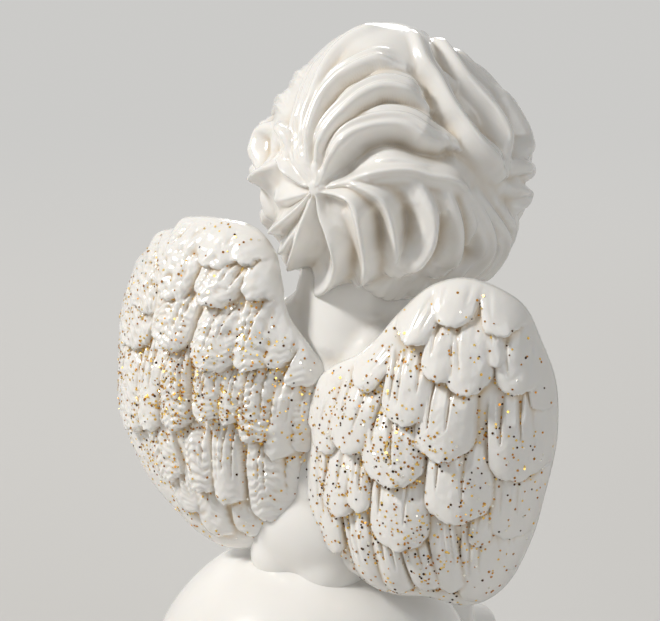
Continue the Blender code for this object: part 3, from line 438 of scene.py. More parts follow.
def roll(path, matrix=None, flatten=1.0):
    """A round-ended roll of clay along a path of X, Y, Z and radius."""
    rings = max(16, 5 * len(path))
    lump = add_ball(24, rings)
    stations = curve_through(path, rings + 1)
    middles = [s.to_3d() for s in stations]
    side = None
    frames = []
    for i in range(rings + 1):
        ahead = (middles[min(i + 1, rings)] - middles[max(i - 1, 0)]).normalized()
        side = ahead.cross(Vector((0, 0, 1))) if side is None else side - ahead * side.dot(ahead)
        if side.length < 1e-4:
            side = ahead.orthogonal()
        side.normalize()
        frames.append((ahead, side.copy(), side.cross(ahead)))
    shaped = []
    for p in points_of(lump):
        polar = math.acos(max(-1.0, min(1.0, -p[2]))) / math.pi
        i = round(polar * rings)
        around = math.atan2(p[1], p[0])
        ahead, across, up = frames[i]
        radius = stations[i].w
        cap = min(1.0, math.sin(math.pi * polar) * 2.2) if 0 < i < rings else 0.0
        push = 0.0
        if i <= 1 or i >= rings - 1:
            push = (0.35 if i in (0, rings) else 0.1) * radius * (-1 if i <= 1 else 1)
        spoke = across * math.cos(around) + up * math.sin(around) * flatten
        shaped.append(middles[i] + ahead * push + spoke * radius * math.sqrt(cap))
    points = np.array(shaped)
    set_points(lump, moved(points, matrix) if matrix else points)
    return lump


def fuse(name, lumps, voxel, smoothing):
    """Lumps pressed into one smooth casting."""
    deselect_all()
    for lump in lumps:
        lump.select_set(True)
    piece = lumps[0]
    bpy.context.view_layer.objects.active = piece
    bpy.ops.object.join()
    piece.name = name
    piece.data.name = name
    remesh = piece.modifiers.new("press", "REMESH")
    remesh.mode = "VOXEL"
    remesh.voxel_size = voxel
    remesh.adaptivity = 0.0
    bpy.ops.object.modifier_apply(modifier=remesh.name)
    smooth = piece.modifiers.new("rub_down", "SMOOTH")
    smooth.factor = 0.5
    smooth.iterations = smoothing
    bpy.ops.object.modifier_apply(modifier=smooth.name)
    return piece


def mark_crevices(piece, rounds, full_depth):
    """Keeps how far each point lies below its smoothed surroundings, 0 to 1, as an attribute, which places the painted
    crevice shade.
    """
    mesh = piece.data
    points = points_of(piece)
    normals = np.empty(len(points) * 3)
    mesh.vertices.foreach_get("normal", normals)
    pairs = np.empty(len(mesh.edges) * 2, dtype=np.int64)
    mesh.edges.foreach_get("vertices", pairs)
    first, second = pairs.reshape(-1, 2).T
    share = 1 / np.maximum(np.bincount(pairs, minlength=len(points)), 1)
    smooth = points.copy()
    for _ in range(rounds):
        total = np.empty_like(smooth)
        for axis in range(3):
            near = np.bincount(first, smooth[second, axis], len(points))
            total[:, axis] = near + np.bincount(second, smooth[first, axis], len(points))
        smooth = total * share[:, None]
    depth = ((smooth - points) * normals.reshape(-1, 3)).sum(1) / full_depth
    layer = mesh.attributes.new("crevice", "FLOAT", "POINT")
    layer.data.foreach_set("value", np.clip(depth, 0, 1))
    return np.clip(depth, 0, 1)


def finish_piece(piece, material, node=None):
    """Millimetres to metres, smooth shading, finish, and its place in the frame."""
    set_points(piece, points_of(piece) * MM)
    deselect_all()
    piece.select_set(True)
    bpy.context.view_layer.objects.active = piece
    bpy.ops.object.shade_smooth()
    piece.data.materials.clear()
    piece.data.materials.append(material)
    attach(piece, "root")
    if node:
        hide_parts(node)
    return piece


# Finishes

def new_material(name):
    material = bpy.data.materials.new(name)
    material.use_nodes = True
    return material, material.node_tree, material.node_tree.nodes["Principled BSDF"]


def add_node(tree, kind, **settings):
    node = tree.nodes.new(kind)
    for key, value in settings.items():
        setattr(node, key, value)
    return node


def new_group(name, inputs, outputs):
    """A shader node group with its sockets and its two end nodes."""
    group = bpy.data.node_groups.new(name, "ShaderNodeTree")
    for label, kind, start in inputs:
        socket = group.interface.new_socket(label, in_out="INPUT", socket_type=kind)
        socket.default_value = start
    for label, kind in outputs:
        group.interface.new_socket(label, in_out="OUTPUT", socket_type=kind)
    return group, group.nodes.new("NodeGroupInput"), group.nodes.new("NodeGroupOutput")


def noise(tree, coordinates, scale, detail):
    node = add_node(tree, "ShaderNodeTexNoise")
    node.inputs["Scale"].default_value = scale
    node.inputs["Detail"].default_value = detail
    tree.links.new(coordinates, node.inputs["Vector"])
    return node.outputs["Fac"]


def spread(tree, value, low, high):
    """A value from 0 to 1 mapped to a range."""
    node = add_node(tree, "ShaderNodeMapRange")
    node.inputs["From Min"].default_value = 0.3
    node.inputs["From Max"].default_value = 0.7
    node.inputs["To Min"].default_value = low
    node.inputs["To Max"].default_value = high
    tree.links.new(value, node.inputs["Value"])
    return node.outputs["Result"]


def crevice_shade_group():
    """Painted shade: beige darkening laid patchily into the crevices, and a faint cloudiness all over."""
    group, start, end = new_group(
        "crevice_shade",
        (
            ("Body", "NodeSocketColor", (*RESIN_WHITE, 1)),
            ("Crevice", "NodeSocketColor", (*BEIGE_CREVICE_SHADE, 1)),
            ("Amount", "NodeSocketFloat", 0.6),
        ),
        (("Color", "NodeSocketColor"), ("Mask", "NodeSocketFloat")),
    )
    links = group.links
    where = add_node(group, "ShaderNodeTexCoord").outputs["Object"]
    mark = add_node(group, "ShaderNodeAttribute", attribute_name="crevice")
    patchy = spread(group, noise(group, where, 260.0, 3.0), 0.45, 1.0)
    strength = add_node(group, "ShaderNodeMath", operation="MULTIPLY")
    links.new(mark.outputs["Fac"], strength.inputs[0])
    links.new(patchy, strength.inputs[1])
    mask = add_node(group, "ShaderNodeMath", operation="MULTIPLY")
    links.new(strength.outputs[0], mask.inputs[0])
    links.new(start.outputs["Amount"], mask.inputs[1])
    cloud = add_node(group, "ShaderNodeMix", data_type="RGBA", blend_type="MULTIPLY")
    cloud.inputs["Factor"].default_value = 1.0
    shade = spread(group, noise(group, where, 110.0, 2.0), 0.965, 1.0)
    links.new(start.outputs["Body"], cloud.inputs["A"])
    links.new(shade, cloud.inputs["B"])
    tint = add_node(group, "ShaderNodeMix", data_type="RGBA")
    links.new(mask.outputs[0], tint.inputs["Factor"])
    links.new(cloud.outputs["Result"], tint.inputs["A"])
    links.new(start.outputs["Crevice"], tint.inputs["B"])
    links.new(tint.outputs["Result"], end.inputs["Color"])
    links.new(mask.outputs[0], end.inputs["Mask"])
    return group


def cast_skin_group():
    """The slightly wavy, pinholed skin of poured resin, and how its gloss varies."""
    group, start, end = new_group(
        "cast_skin",
        (("Gloss Low", "NodeSocketFloat", 0.2), ("Gloss High", "NodeSocketFloat", 0.32)),
        (("Height", "NodeSocketFloat"), ("Roughness", "NodeSocketFloat")),
    )
    links = group.links
    where = add_node(group, "ShaderNodeTexCoord").outputs["Object"]
    waves = noise(group, where, 420.0, 1.0)
    grain = noise(group, where, 2600.0, 2.0)
    height = add_node(group, "ShaderNodeMath", operation="MULTIPLY_ADD")
    height.inputs[1].default_value = 0.12
    links.new(grain, height.inputs[0])
    links.new(waves, height.inputs[2])
    gloss = add_node(group, "ShaderNodeMapRange")
    links.new(noise(group, where, 190.0, 3.0), gloss.inputs["Value"])
    links.new(start.outputs["Gloss Low"], gloss.inputs["To Min"])
    links.new(start.outputs["Gloss High"], gloss.inputs["To Max"])
    links.new(height.outputs[0], end.inputs["Height"])
    links.new(gloss.outputs["Result"], end.inputs["Roughness"])
    return group


def resin_material(name, tint, skin, shade_colour, amount, gloss, bump):
    material, tree, shader = new_material(name)
    colour = add_node(tree, "ShaderNodeGroup", node_tree=tint)
    # Colour of the painted shade in the crevices
    colour.inputs["Crevice"].default_value = (*shade_colour, 1)
    colour.inputs["Amount"].default_value = amount
    surface = add_node(tree, "ShaderNodeGroup", node_tree=skin)
    surface.inputs["Gloss Low"].default_value = gloss[0]
    surface.inputs["Gloss High"].default_value = gloss[1]
    relief = add_node(tree, "ShaderNodeBump")
    relief.inputs["Strength"].default_value = bump
    relief.inputs["Distance"].default_value = 0.0003
    tree.links.new(colour.outputs["Color"], shader.inputs["Base Color"])
    tree.links.new(surface.outputs["Roughness"], shader.inputs["Roughness"])
    tree.links.new(surface.outputs["Height"], relief.inputs["Height"])
    tree.links.new(relief.outputs["Normal"], shader.inputs["Normal"])
    shader.inputs["IOR"].default_value = 1.52
    shader.inputs["Subsurface Weight"].default_value = 0.22
    shader.inputs["Subsurface Radius"].default_value = (1.0, 0.82, 0.62)
    shader.inputs["Subsurface Scale"].default_value = 0.0012
    shader.inputs["Coat Weight"].default_value = 0.35
    shader.inputs["Coat Roughness"].default_value = 0.08
    return material


def glitter_material(name, dark, bright):
    """Metal flakes, each a little different from the next."""
    material, tree, shader = new_material(name)
    where = add_node(tree, "ShaderNodeTexCoord").outputs["Object"]
    mix = add_node(tree, "ShaderNodeMix", data_type="RGBA")
    mix.inputs["A"].default_value = (*dark, 1)
    mix.inputs["B"].default_value = (*bright, 1)
    tree.links.new(spread(tree, noise(tree, where, 1400.0, 1.0), 0.0, 1.0), mix.inputs["Factor"])
    tree.links.new(mix.outputs["Result"], shader.inputs["Base Color"])
    tree.links.new(spread(tree, noise(tree, where, 900.0, 1.0), 0.16, 0.36), shader.inputs["Roughness"])
    shader.inputs["Metallic"].default_value = 1.0
    return material


def steel_material():
    material, tree, shader = new_material("drawn_steel")
    where = add_node(tree, "ShaderNodeTexCoord").outputs["Object"]
    mix = add_node(tree, "ShaderNodeMix", data_type="RGBA")
    mix.inputs["A"].default_value = (0.42, 0.42, 0.44, 1)
    mix.inputs["B"].default_value = (0.66, 0.66, 0.67, 1)
    tree.links.new(noise(tree, where, 1800.0, 4.0), mix.inputs["Factor"])
    tree.links.new(mix.outputs["Result"], shader.inputs["Base Color"])
    tree.links.new(spread(tree, noise(tree, where, 2400.0, 3.0), 0.22, 0.45), shader.inputs["Roughness"])
    shader.inputs["Metallic"].default_value = 1.0
    return material


def felt_material():
    material, tree, shader = new_material("pressed_felt")
    where = add_node(tree, "ShaderNodeTexCoord").outputs["Object"]
    fibres = noise(tree, where, 3200.0, 6.0)
    mix = add_node(tree, "ShaderNodeMix", data_type="RGBA")
    mix.inputs["A"].default_value = (0.20, 0.18, 0.16, 1)
    mix.inputs["B"].default_value = (0.42, 0.38, 0.34, 1)
    relief = add_node(tree, "ShaderNodeBump")
    relief.inputs["Strength"].default_value = 0.8
    relief.inputs["Distance"].default_value = 0.0002
    tree.links.new(fibres, mix.inputs["Factor"])
    tree.links.new(fibres, relief.inputs["Height"])
    tree.links.new(mix.outputs["Result"], shader.inputs["Base Color"])
    tree.links.new(relief.outputs["Normal"], shader.inputs["Normal"])
    shader.inputs["Roughness"].default_value = 0.95
    shader.inputs["Sheen Weight"].default_value = 0.4
    return material


# Head

def direction(bearing, latitude):
    turn, lift = math.radians(bearing), math.radians(latitude)
    return Vector((-math.sin(turn) * math.cos(lift), math.cos(turn) * math.cos(lift), math.sin(lift)))


def along_route(directions, route, reach=15.0):
    """Signed offset to the left of a route, distance from it, and distance from its two ends, in mm."""
    points = [p.normalized() for p in curve_through([direction(*w) for w in route], RIDGE_SAMPLES)]
    middles = np.array(points)
    ahead = np.gradient(middles, axis=0)
    ahead -= middles * (ahead * middles).sum(1, keepdims=True)
    ahead /= np.linalg.norm(ahead, axis=1, keepdims=True)
    left = np.cross(middles, ahead)
    travelled = np.r_[0, np.cumsum(np.linalg.norm(np.diff(middles, axis=0), axis=1))] * reach
    nearest = (directions @ middles.T).argmax(1)
    delta = directions - middles[nearest]
    offset = (delta * left[nearest]).sum(1) * reach
    on = (delta * ahead[nearest]).sum(1) * reach
    inner = (nearest > 0) & (nearest < RIDGE_SAMPLES - 1)
    away = np.hypot(offset, np.where(inner, 0.0, on))
    return offset, away, travelled[nearest], travelled[-1] - travelled[nearest]


def hair_relief(directions):
    """Height of the combed ridges: crisp crests with hollows between them."""
    total = np.zeros(len(directions))
    for name, (route, crest, left_width, right_width, roundness) in HAIR_RIDGES.items():
        offset, away, start, rest = along_route(directions, route)
        rise = SOFT_STARTS.get(name.split("_")[0], LOCK_START)
        at_whorl = math.dist(route[0], WHORL) < 8
        width = np.where(offset > 0, left_width, right_width)
        height = crest * (0.55 + 0.45 * smooth_step(0, 3.0, rest))
        if at_whorl:
            width = width * np.clip(0.22 + start / 7.0, 0.22, 1)
            height = height * (0.42 + 0.58 * smooth_step(0, 6.0, start))
        else:
            height = height * (0.35 + 0.65 * smooth_step(0, rise, start))
        slope = ((np.sqrt(away**2 + CREST_ROUNDING**2) - CREST_ROUNDING) / width) ** roundness
        flutes = 1 - FLUTE_DEPTH * (width > 1.3) * (1 - np.cos(2 * math.pi * away / FLUTE_SPACING))
        total += np.clip(height * np.exp(-slope) * flutes, 0, None) ** 7
    for bearing, latitude, reach, height in HAIR_SWELLINGS.values():
        away = np.degrees(np.arccos(np.clip(directions @ np.array(direction(bearing, latitude)), -1, 1)))
        total += (height * np.exp(-((away / reach) ** 4))) ** 7
    relief = total ** (1 / 7)
    for route, depth, width in HAIR_HOLLOWS.values():
        _, away, start, rest = along_route(directions, route)
        relief -= depth * np.exp(-((away / width) ** 2)) * smooth_step(0, 3.0, np.minimum(start, rest) + 0.8)
    return relief


def face_relief(across, lift, directions):
    relief = np.zeros(len(across))
    swellings = list(FACE_SWELLINGS.values())
    for side in (1, -1):
        swellings += [(side * s[0], *s[1:]) for s in PAIRED_FACE_SWELLINGS.values()]
    for middle, up, half_width, half_height, height in swellings:
        relief += height * np.exp(-(((across - middle) / half_width) ** 2) - ((lift - up) / half_height) ** 2)
    lines = list(FACE_LINES.values())
    for side in (1, -1):
        lines += [([(side * a, b) for a, b in line[0]], *line[1:]) for line in PAIRED_FACE_LINES.values()]
    for route, height, width in lines:
        bearings = [(180 + a, b) for a, b in route]
        _, away, start, rest = along_route(directions, bearings)
        ends = smooth_step(0, 0.8, np.minimum(start, rest) + 0.15)
        relief += height * np.exp(-((away / width) ** 2)) * ends
    return relief


def head_radii(directions):
    skull = 1 / np.sqrt(((directions / SKULL_RADII) ** 2).sum(1))
    across = np.degrees(np.arctan2(directions[:, 0], -directions[:, 1]))
    lift = np.degrees(np.arcsin(np.clip(directions[:, 2], -1, 1)))
    below = np.minimum(lift - FACE_MIDDLE_LATITUDE, 0) * 0.3
    above = np.maximum(lift - FACE_MIDDLE_LATITUDE, 0)
    from_face = np.hypot(across / FACE_HALF_ANGLES[0], (above + below) / FACE_HALF_ANGLES[1])
    combed = hair_relief(directions)
    locks = smooth_step(1.0, 1.9, combed) * smooth_step(0.72, 0.82, from_face)
    edge = np.maximum(smooth_step(0.95, 1.05, from_face), locks)
    lowest = -68 + 22 * (1 - smooth_step(60, 125, np.abs(across)))
    hair = edge * smooth_step(-6, 6, lift + 3 * combed - lowest)
    radii = skull + hair * (HAIR_COVER + combed)
    radii -= CROWN_TAPER * np.where(lift > 0, np.sin(np.radians(2 * lift)) ** 2, 0)
    return radii + (1 - hair) * face_relief(across, lift, directions)


def make_head(material):
    """Face and combed hair, raised from one ball with its pole at the whorl."""
    head = add_ball(98, 54, 2)
    head.name = "head_casting"
    to_whorl = np.array(Vector((0, 0, 1)).rotation_difference(direction(*WHORL)).to_matrix())
    directions = points_of(head) @ to_whorl.T
    points = directions * head_radii(directions)[:, None]
    set_points(head, moved(points, head_matrix()))
    mark_crevices(head, 40, 0.45)
    return finish_piece(head, material, "head")


# Wings

def hammered(x, z, chance):
    """Small irregular bumps of a hand-modelled surface, about -1 to 1."""
    total = np.zeros(len(x))
    for _ in range(16):
        bearing = chance.uniform(0, math.tau)
        waves = math.tau / (HAMMER_WAVE * chance.uniform(0.6, 1.7))
        across = x * math.cos(bearing) + z * math.sin(bearing)
        total += np.sin(waves * across + chance.uniform(0, math.tau))
    return total / 4


def feather_relief(x, z, side, chance):
    """Height of the overlapping feathers, each puffed, barbed and scored with grooves."""
    relief = np.zeros(len(x))
    for tip_x, tip_z, root_x, root_z, width, lift in FEATHERS[side]:
        length = 1.15 * math.hypot(root_x - tip_x, root_z - tip_z)
        width = 1.15 * width
        to_x, to_z = 1.15 * (root_x - tip_x) / length, 1.15 * (root_z - tip_z) / length
        across = (x - tip_x) * to_z - (z - tip_z) * to_x
        up = (x - tip_x) * to_x + (z - tip_z) * to_z
        ragged = chance.uniform(0, math.tau)
        up -= RUFFLE[side] * (np.sin(3.1 * across + ragged) + 0.6 * np.sin(6.7 * across - ragged))
        along = up / length
        round_tip = np.sqrt(np.clip(1 - np.clip(1 - up / (0.46 * width), 0, 1) ** 2.8, 0, 1))
        half = np.maximum(0.5 * width * round_tip * (1 - 0.15 * np.clip(along, 0, 1)), 1e-3)
        inside = (up > 0) & (along < 1) & (np.abs(across) < half)
        rim = np.clip(1 - (across / half) ** 2, 0, 1)
        puff = (0.35 + 0.65 * rim**0.55) * smooth_step(0, 0.14, rim)
        body = FEATHER_LIFT * lift * (1 - 0.55 * along) * (1 - smooth_step(0.6, 1.0, along)) * puff
        spacing = BARB_SPACING * chance.uniform(0.8, 1.35)
        climb = up + BARB_SLANT * chance.uniform(0.5, 1.8) * np.abs(across) + 0.25 * np.sin(1.7 * across + 0.9 * up)
        barbs = 0.5 - 0.5 * np.cos(math.tau * climb / spacing)
        scored = BARB_DEPTH[side] * lift * chance.uniform(0.35, 1.1)
        body = body - scored * barbs * smooth_step(0, 0.5, rim) * smooth_step(0, 0.4, body)
        places = chance.sample((-0.5, -0.2, 0.12, 0.45), chance.choice((2, 2, 3)))
        for place in places:
            end = chance.uniform(0.24, 0.5)
            slant = chance.uniform(-0.12, 0.12)
            depth = GROOVE_DEPTH * lift * chance.uniform(0.5, 1.2)
            taper = np.clip((along - end) / (0.8 - end), 0, 1)
            line = 0.5 * width * (place + chance.uniform(-0.08, 0.08) + slant * along)
            broad = 0.12 + GROOVE_WIDTH * chance.uniform(0.6, 1.4) * taper
            body = body - depth * np.sqrt(taper) * np.clip(1 - np.abs(across - line) / broad, 0, 1)
        relief = np.where(inside, np.maximum(relief, body), relief)
    return relief + HAMMER_HEIGHT[side] * (0.35 + 0.65 * smooth_step(2, 15, z)) * hammered(x, z, chance)


def wing_points(x, z, offset):
    dome = WING_DOME[0] * (x / WING_REACH[0]) ** 2 + WING_DOME[1] * (z / WING_REACH[1]) ** 2
    return np.stack((x, offset - dome, z), 1)


def wing_offset(share, face):
    rim = WING_RIM_THICKNESS / 2
    swell = np.sqrt(np.clip(1 - share**4, 0, 1))
    return face * (rim * np.sqrt(np.clip(1 - share**12, 0, 1)) + (WING_HALF_THICKNESS - rim) * swell)


def make_wing(side, hand, material):
    """A domed shield raised from a ball: feathered at the back, and faintly at the front."""
    chance = random.Random(SEED + hand)
    wing = add_ball(WING_SPOKES, WING_RINGS, 2)
    wing.name = f"{side}_wing_casting"
    ball = points_of(wing)
    corners = WING_OUTLINES[side]
    outline = np.array(closed_curve(corners, 720))
    bearings = np.unwrap(np.arctan2(outline[:, 1], outline[:, 0]))
    reach = np.hypot(outline[:, 0], outline[:, 1])
    order = np.argsort(bearings % (2 * math.pi))
    around = np.arctan2(ball[:, 1], ball[:, 0]) % (2 * math.pi)
    edge = np.interp(around, (bearings % (2 * math.pi))[order], reach[order], period=2 * math.pi)
    polar = np.arccos(np.clip(ball[:, 2], -1, 1)) / math.pi
    back = polar <= BACK_RINGS
    share = np.where(back, polar / BACK_RINGS, (1 - polar) / (1 - BACK_RINGS))
    x, z = edge * share * np.cos(around), edge * share * np.sin(around)
    relief = feather_relief(x, z, side, chance) * (1 - share**10)
    offset = np.where(back, wing_offset(share, 1) + relief, wing_offset(share, -1) - FRONT_SHARE * relief)
    points = moved(wing_points(x, z, offset), wing_matrix())
    points[:, 0] *= hand
    set_points(wing, moved(points, lean_matrix()))
    deselect_all()
    wing.select_set(True)
    bpy.context.view_layer.objects.active = wing
    bpy.ops.object.mode_set(mode="EDIT")
    bpy.ops.mesh.select_all(action="SELECT")
    bpy.ops.mesh.normals_make_consistent(inside=False)
    bpy.ops.object.mode_set(mode="OBJECT")
    crevices = mark_crevices(wing, 24, WING_CREVICE_DEPTH[side])
    normals = np.empty(len(ball) * 3)
    wing.data.vertices.foreach_get("normal", normals)
    rows = np.flatnonzero(back & (share < 0.985))
    spots = (points_of(wing)[rows], normals.reshape(-1, 3)[rows], crevices[rows], share[rows], x[rows], z[rows])
    finish_piece(wing, material, f"{side}_wing")
    return spots


def make_glitter(side, spots, materials):
    """Flakes thrown on the wet lacquer: thicker in the crevices and low on the wing."""
    rng = np.random.default_rng(SEED + (side == "left"))
    places, normals, crevices, share, outward, height = spots
    drifts = places[rng.integers(len(places), size=34)]
    drift = np.zeros(len(places))
    for middle in drifts:
        drift += np.exp(-((places - middle) ** 2).sum(1) / 2 / rng.uniform(0.7, 1.6) ** 2)
    weight = share * (0.2 + 1.8 * crevices + 0.7 * np.clip(drift, 0, 1.2))
    if side == "left":
        weight = weight * (0.35 + np.exp(-(((height - 2) / 9) ** 2)))
    else:
        weight = weight * (1.35 - height / 17) * (1.25 - outward / 40)
    chosen = rng.choice(len(places), GLITTER_COUNTS[side], replace=False, p=weight / weight.sum())
    shares = GLITTER_SHARES[side]
    names = rng.choice(list(shares), len(chosen), p=list(shares.values()))
    for name, material in materials.items():
        deselect_all()
        bpy.ops.mesh.primitive_cylinder_add(vertices=6, radius=FLAKE_RADIUS, depth=FLAKE_THICKNESS)
        flake = bpy.context.active_object
        flake.name = f"{side}_glitter_{name}"
        pattern = points_of(flake)
        faces = [list(f.vertices) for f in flake.data.polygons]
        points, loops = [], []
        for i in chosen[names == name]:
            tilt = Vector(normals[i] + rng.normal(0, 0.22, 3)).normalized()
            turn = Vector((0, 0, 1)).rotation_difference(tilt).to_matrix()
            turn = np.array(turn @ Matrix.Rotation(rng.uniform(0, math.pi), 3, "Z"))
            size = rng.uniform(0.75, 1.25)
            first = len(points) * len(pattern)
            points.append((pattern * size) @ turn.T + places[i] + normals[i] * 0.02)
            loops += [[first + v for v in f] for f in faces]
        mesh = bpy.data.meshes.new(flake.name)
        mesh.from_pydata(np.concatenate(points), [], loops)
        flake.data = mesh
        finish_piece(flake, material)
        bpy.ops.object.shade_flat()


# Body, ball and felt

def make_torso(material):
    """Trunk, shoulders and neck in one casting."""
    lean = lean_matrix()
    lumps = [swelling(*lump, lean) for lump in TRUNK_LUMPS.values()]
    lumps.append(roll(NECK_PATH, lean))
    for hand in (1, -1):
        lumps.append(roll(mirrored(SHOULDER_SLOPE, hand), lean))
    torso = fuse("torso_casting", lumps, 0.4, 22)
    mark_crevices(torso, 40, 0.5)
    return finish_piece(torso, material, "torso")


def make_arm(side, hand, material):
    """Arm and hand, the fingers bent over the knee."""
    lean = lean_matrix()
    upper = [(*(lean @ p.to_3d()), p.w) for p in mirrored(UPPER_ARM, hand)]
    lower = mirrored(FOREARM, hand, SEAT.x)
    palm = lower[-1].to_3d()
    shoulder = mirrored((SHOULDER,), hand)[0]
    lumps = [roll((*upper, *lower)), swelling(shoulder, SHOULDER_RADII, lean), swelling(palm, PALM_RADII)]
    for place, long in FINGERS:
        x = palm.x + place * hand
        tip = palm.x + 1.12 * place * hand
        knuckle = (x, palm.y - 1.4, palm.z, 1.02)
        bend = (tip, palm.y - 4.2 - long, palm.z - 1.3, 1.0)
        lumps.append(roll((knuckle, bend, (tip, palm.y - 5.8 - long, palm.z - 3.6, 0.8))))
    thumb = palm.x - 2.5 * hand
    lumps.append(roll(((thumb, palm.y + 0.8, palm.z - 0.2, 1.1), (thumb - hand, palm.y - 2.4, palm.z - 1.2, 0.9))))
    arm = fuse(f"{side}_arm_casting", lumps, 0.26, 12)
    mark_crevices(arm, 30, 0.4)
    return finish_piece(arm, material, f"{side}_arm")


def make_leg(side, hand, material):
    """Thigh, calf and foot, with five toes."""
    lumps = [roll(mirrored(path, hand, SEAT.x)) for path in (LEG_PATH, FOOT_PATH)]
    for middle, radii in LEG_LUMPS.values():
        lumps.append(swelling(mirrored((middle,), hand, SEAT.x)[0], radii))
    for across, front, radius in TOES:
        middle = (SEAT.x + hand * (FOOT_PATH[2][0] + across), front, FOOT_PATH[2][2] - 1.0)
        lumps.append(swelling(middle, (radius, radius * 1.4, radius)))
    leg = fuse(f"{side}_leg_casting", lumps, 0.26, 8)
    mark_crevices(leg, 30, 0.4)
    return finish_piece(leg, material, f"{side}_leg")


def make_ball(material):
    """The ball, ground flat underneath with a rounded rim and a recess for the felt."""
    ball = add_ball(128, 96)
    ball.name = "ball_casting"
    points = points_of(ball) * BALL_RADIUS
    flat = BALL_FOOT - BALL_CENTRE.z
    reach = np.hypot(points[:, 0], points[:, 1])
    low = points[:, 2] < flat + 0.6
    points[low, 2] = np.maximum(points[low, 2], flat + 0.25 * smooth_step(11.2, 12.6, reach[low]))
    points[low & (reach < 10.6), 2] = flat + 1.2
    set_points(ball, points + np.array(BALL_CENTRE))
    mark_crevices(ball, 10, 0.5)
    return finish_piece(ball, material, "ball_base")


def make_felt(material):
    deselect_all()
    bpy.ops.mesh.primitive_cylinder_add(vertices=96, radius=10.0, depth=1.6, location=(0, 0, 0.8))
    felt = bpy.context.active_object
    felt.name = "felt_disc"
    bpy.ops.object.transform_apply(location=True, rotation=True, scale=True)
    bevel = felt.modifiers.new("worn_rim", "BEVEL")
    bevel.width = 0.25
    bevel.segments = 3
    bpy.ops.object.modifier_apply(modifier=bevel.name)
    return finish_piece(felt, material, "base_felt_pad")


# Studio

def seen_directly(tree):
    """1 for what the camera sees, straight or in a reflection or through glass, and 0 for light."""
    path = add_node(tree, "ShaderNodeLightPath")
    total = path.outputs["Is Camera Ray"]
    for kind in ("Is Glossy Ray", "Is Transmission Ray"):
        add = add_node(tree, "ShaderNodeMath", operation="MAXIMUM")
        tree.links.new(total, add.inputs[0])
        tree.links.new(path.outputs[kind], add.inputs[1])
        total = add.outputs[0]
    return total


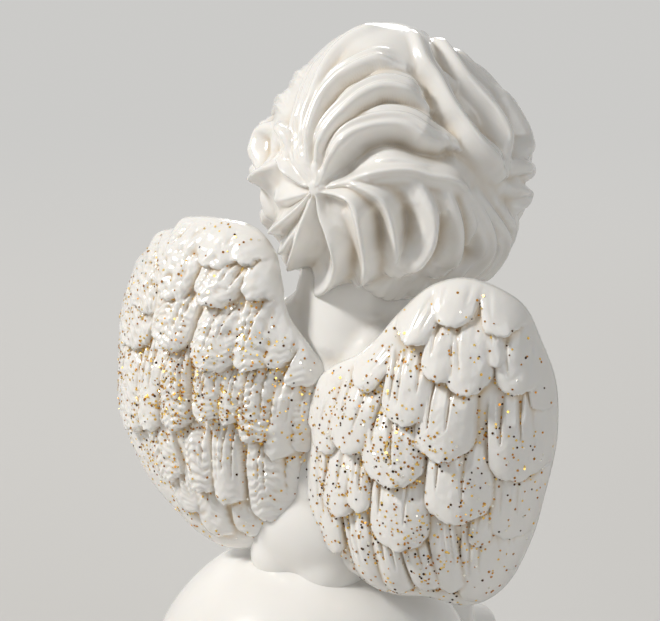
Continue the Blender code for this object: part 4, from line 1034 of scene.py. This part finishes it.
def make_studio():
    deselect_all()
    bpy.ops.mesh.primitive_plane_add(size=8.0, location=(0, 0, 0))
    floor = bpy.context.active_object
    floor.name = "studio_floor"
    material, tree, shader = new_material("pale_floor")
    where = add_node(tree, "ShaderNodeTexCoord").outputs["Object"]
    mix = add_node(tree, "ShaderNodeMix", data_type="RGBA")
    mix.inputs["A"].default_value = (0.55, 0.545, 0.535, 1)
    mix.inputs["B"].default_value = (0.58, 0.575, 0.565, 1)
    tree.links.new(noise(tree, where, 3.0, 2.0), mix.inputs["Factor"])
    tree.links.new(mix.outputs["Result"], shader.inputs["Base Color"])
    shader.inputs["Roughness"].default_value = 0.8
    away = add_node(tree, "ShaderNodeVectorMath", operation="LENGTH")
    tree.links.new(where, away.inputs[0])
    far = add_node(tree, "ShaderNodeMapRange", interpolation_type="SMOOTHSTEP")
    far.inputs["From Min"].default_value = FLOOR_FADE[0]
    far.inputs["From Max"].default_value = FLOOR_FADE[1]
    tree.links.new(away.outputs["Value"], far.inputs["Value"])
    share = add_node(tree, "ShaderNodeMath", operation="MULTIPLY")
    tree.links.new(far.outputs["Result"], share.inputs[0])
    tree.links.new(seen_directly(tree), share.inputs[1])
    pale = add_node(tree, "ShaderNodeEmission")
    pale.inputs["Color"].default_value = BACKDROP
    blend = add_node(tree, "ShaderNodeMixShader")
    tree.links.new(share.outputs[0], blend.inputs["Fac"])
    tree.links.new(shader.outputs["BSDF"], blend.inputs[1])
    tree.links.new(pale.outputs["Emission"], blend.inputs[2])
    tree.links.new(blend.outputs["Shader"], tree.nodes["Material Output"].inputs["Surface"])
    floor.data.materials.append(material)

    world = bpy.data.worlds.new("studio")
    world.use_nodes = True
    tree = world.node_tree
    light = tree.nodes["Background"]
    light.inputs["Color"].default_value = (0.87, 0.85, 0.81, 1)
    light.inputs["Strength"].default_value = 0.24
    backdrop = add_node(tree, "ShaderNodeBackground")
    backdrop.inputs["Color"].default_value = BACKDROP
    blend = add_node(tree, "ShaderNodeMixShader")
    tree.links.new(seen_directly(tree), blend.inputs["Fac"])
    tree.links.new(light.outputs["Background"], blend.inputs[1])
    tree.links.new(backdrop.outputs["Background"], blend.inputs[2])
    tree.links.new(blend.outputs["Shader"], tree.nodes["World Output"].inputs["Surface"])
    scene = bpy.context.scene
    scene.world = world
    scene.view_settings.view_transform = "Standard"

    lamps = (
        ("key", (0.48, 0.44, 0.66), 0.15, 6.3, (1.0, 0.98, 0.95)),
        ("fill", (-0.70, 0.35, 0.40), 0.50, 1.25, (0.94, 0.97, 1.0)),
        ("front", (0.25, -0.75, 0.55), 0.30, 3.4, (1.0, 0.99, 0.97)),
    )
    for name, place, size, power, colour in lamps:
        bpy.ops.object.light_add(type="AREA", location=place)
        lamp = bpy.context.active_object
        lamp.name = f"{name}_lamp"
        lamp.data.size = size
        lamp.data.energy = power
        lamp.data.color = colour
        lamp.rotation_euler = (Vector(place) - Vector((0, 0, 0.055))).to_track_quat("Z", "Y").to_euler()


def make_camera():
    """The photograph's viewpoint: behind the figure, round to its right, a little above."""
    azimuth, elevation = math.radians(205), math.radians(15)
    back = Vector((math.sin(azimuth) * math.cos(elevation), -math.cos(azimuth) * math.cos(elevation), math.sin(elevation)))
    target = Vector((3.075, -11.727, 61.014)) * MM
    bpy.ops.object.camera_add(location=target + back * 0.26506)
    camera = bpy.context.active_object
    camera.rotation_euler = back.to_track_quat("Z", "Y").to_euler()
    camera.data.lens = 120
    camera.data.sensor_width = 36
    camera.data.clip_start = 0.01
    bpy.context.scene.camera = camera


def main():
    make_camera()
    make_studio()
    tint, skin = crevice_shade_group(), cast_skin_group()
    # The fourth and fifth values are the colour and strength of each resin's painted crevice shade
    hair_resin = resin_material("hair_resin", tint, skin, BEIGE_CREVICE_SHADE, 0.9, (0.13, 0.26), 0.10)
    body_resin = resin_material("body_resin", tint, skin, BEIGE_CREVICE_SHADE, 0.6, (0.15, 0.28), 0.08)
    wing_resin = resin_material("wing_resin", tint, skin, GOLD_SHADE_AND_WASH, 1.0, (0.11, 0.24), 0.22)
    steel = steel_material()
    glitter = {n: glitter_material(f"glitter_{n}", *c) for n, c in GLITTER_COLOURS.items()}

    make_head(hair_resin)
    make_torso(body_resin)
    make_ball(body_resin)
    make_felt(felt_material())
    for side, hand in (("left", 1), ("right", -1)):
        make_leg(side, hand, body_resin)
        make_arm(side, hand, body_resin)
        make_glitter(side, make_wing(side, hand, wing_resin), glitter)
    for name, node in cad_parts.items():
        if name.endswith("dowel") or "_pin" in name:
            node.data.materials.clear()
            node.data.materials.append(steel)


main()
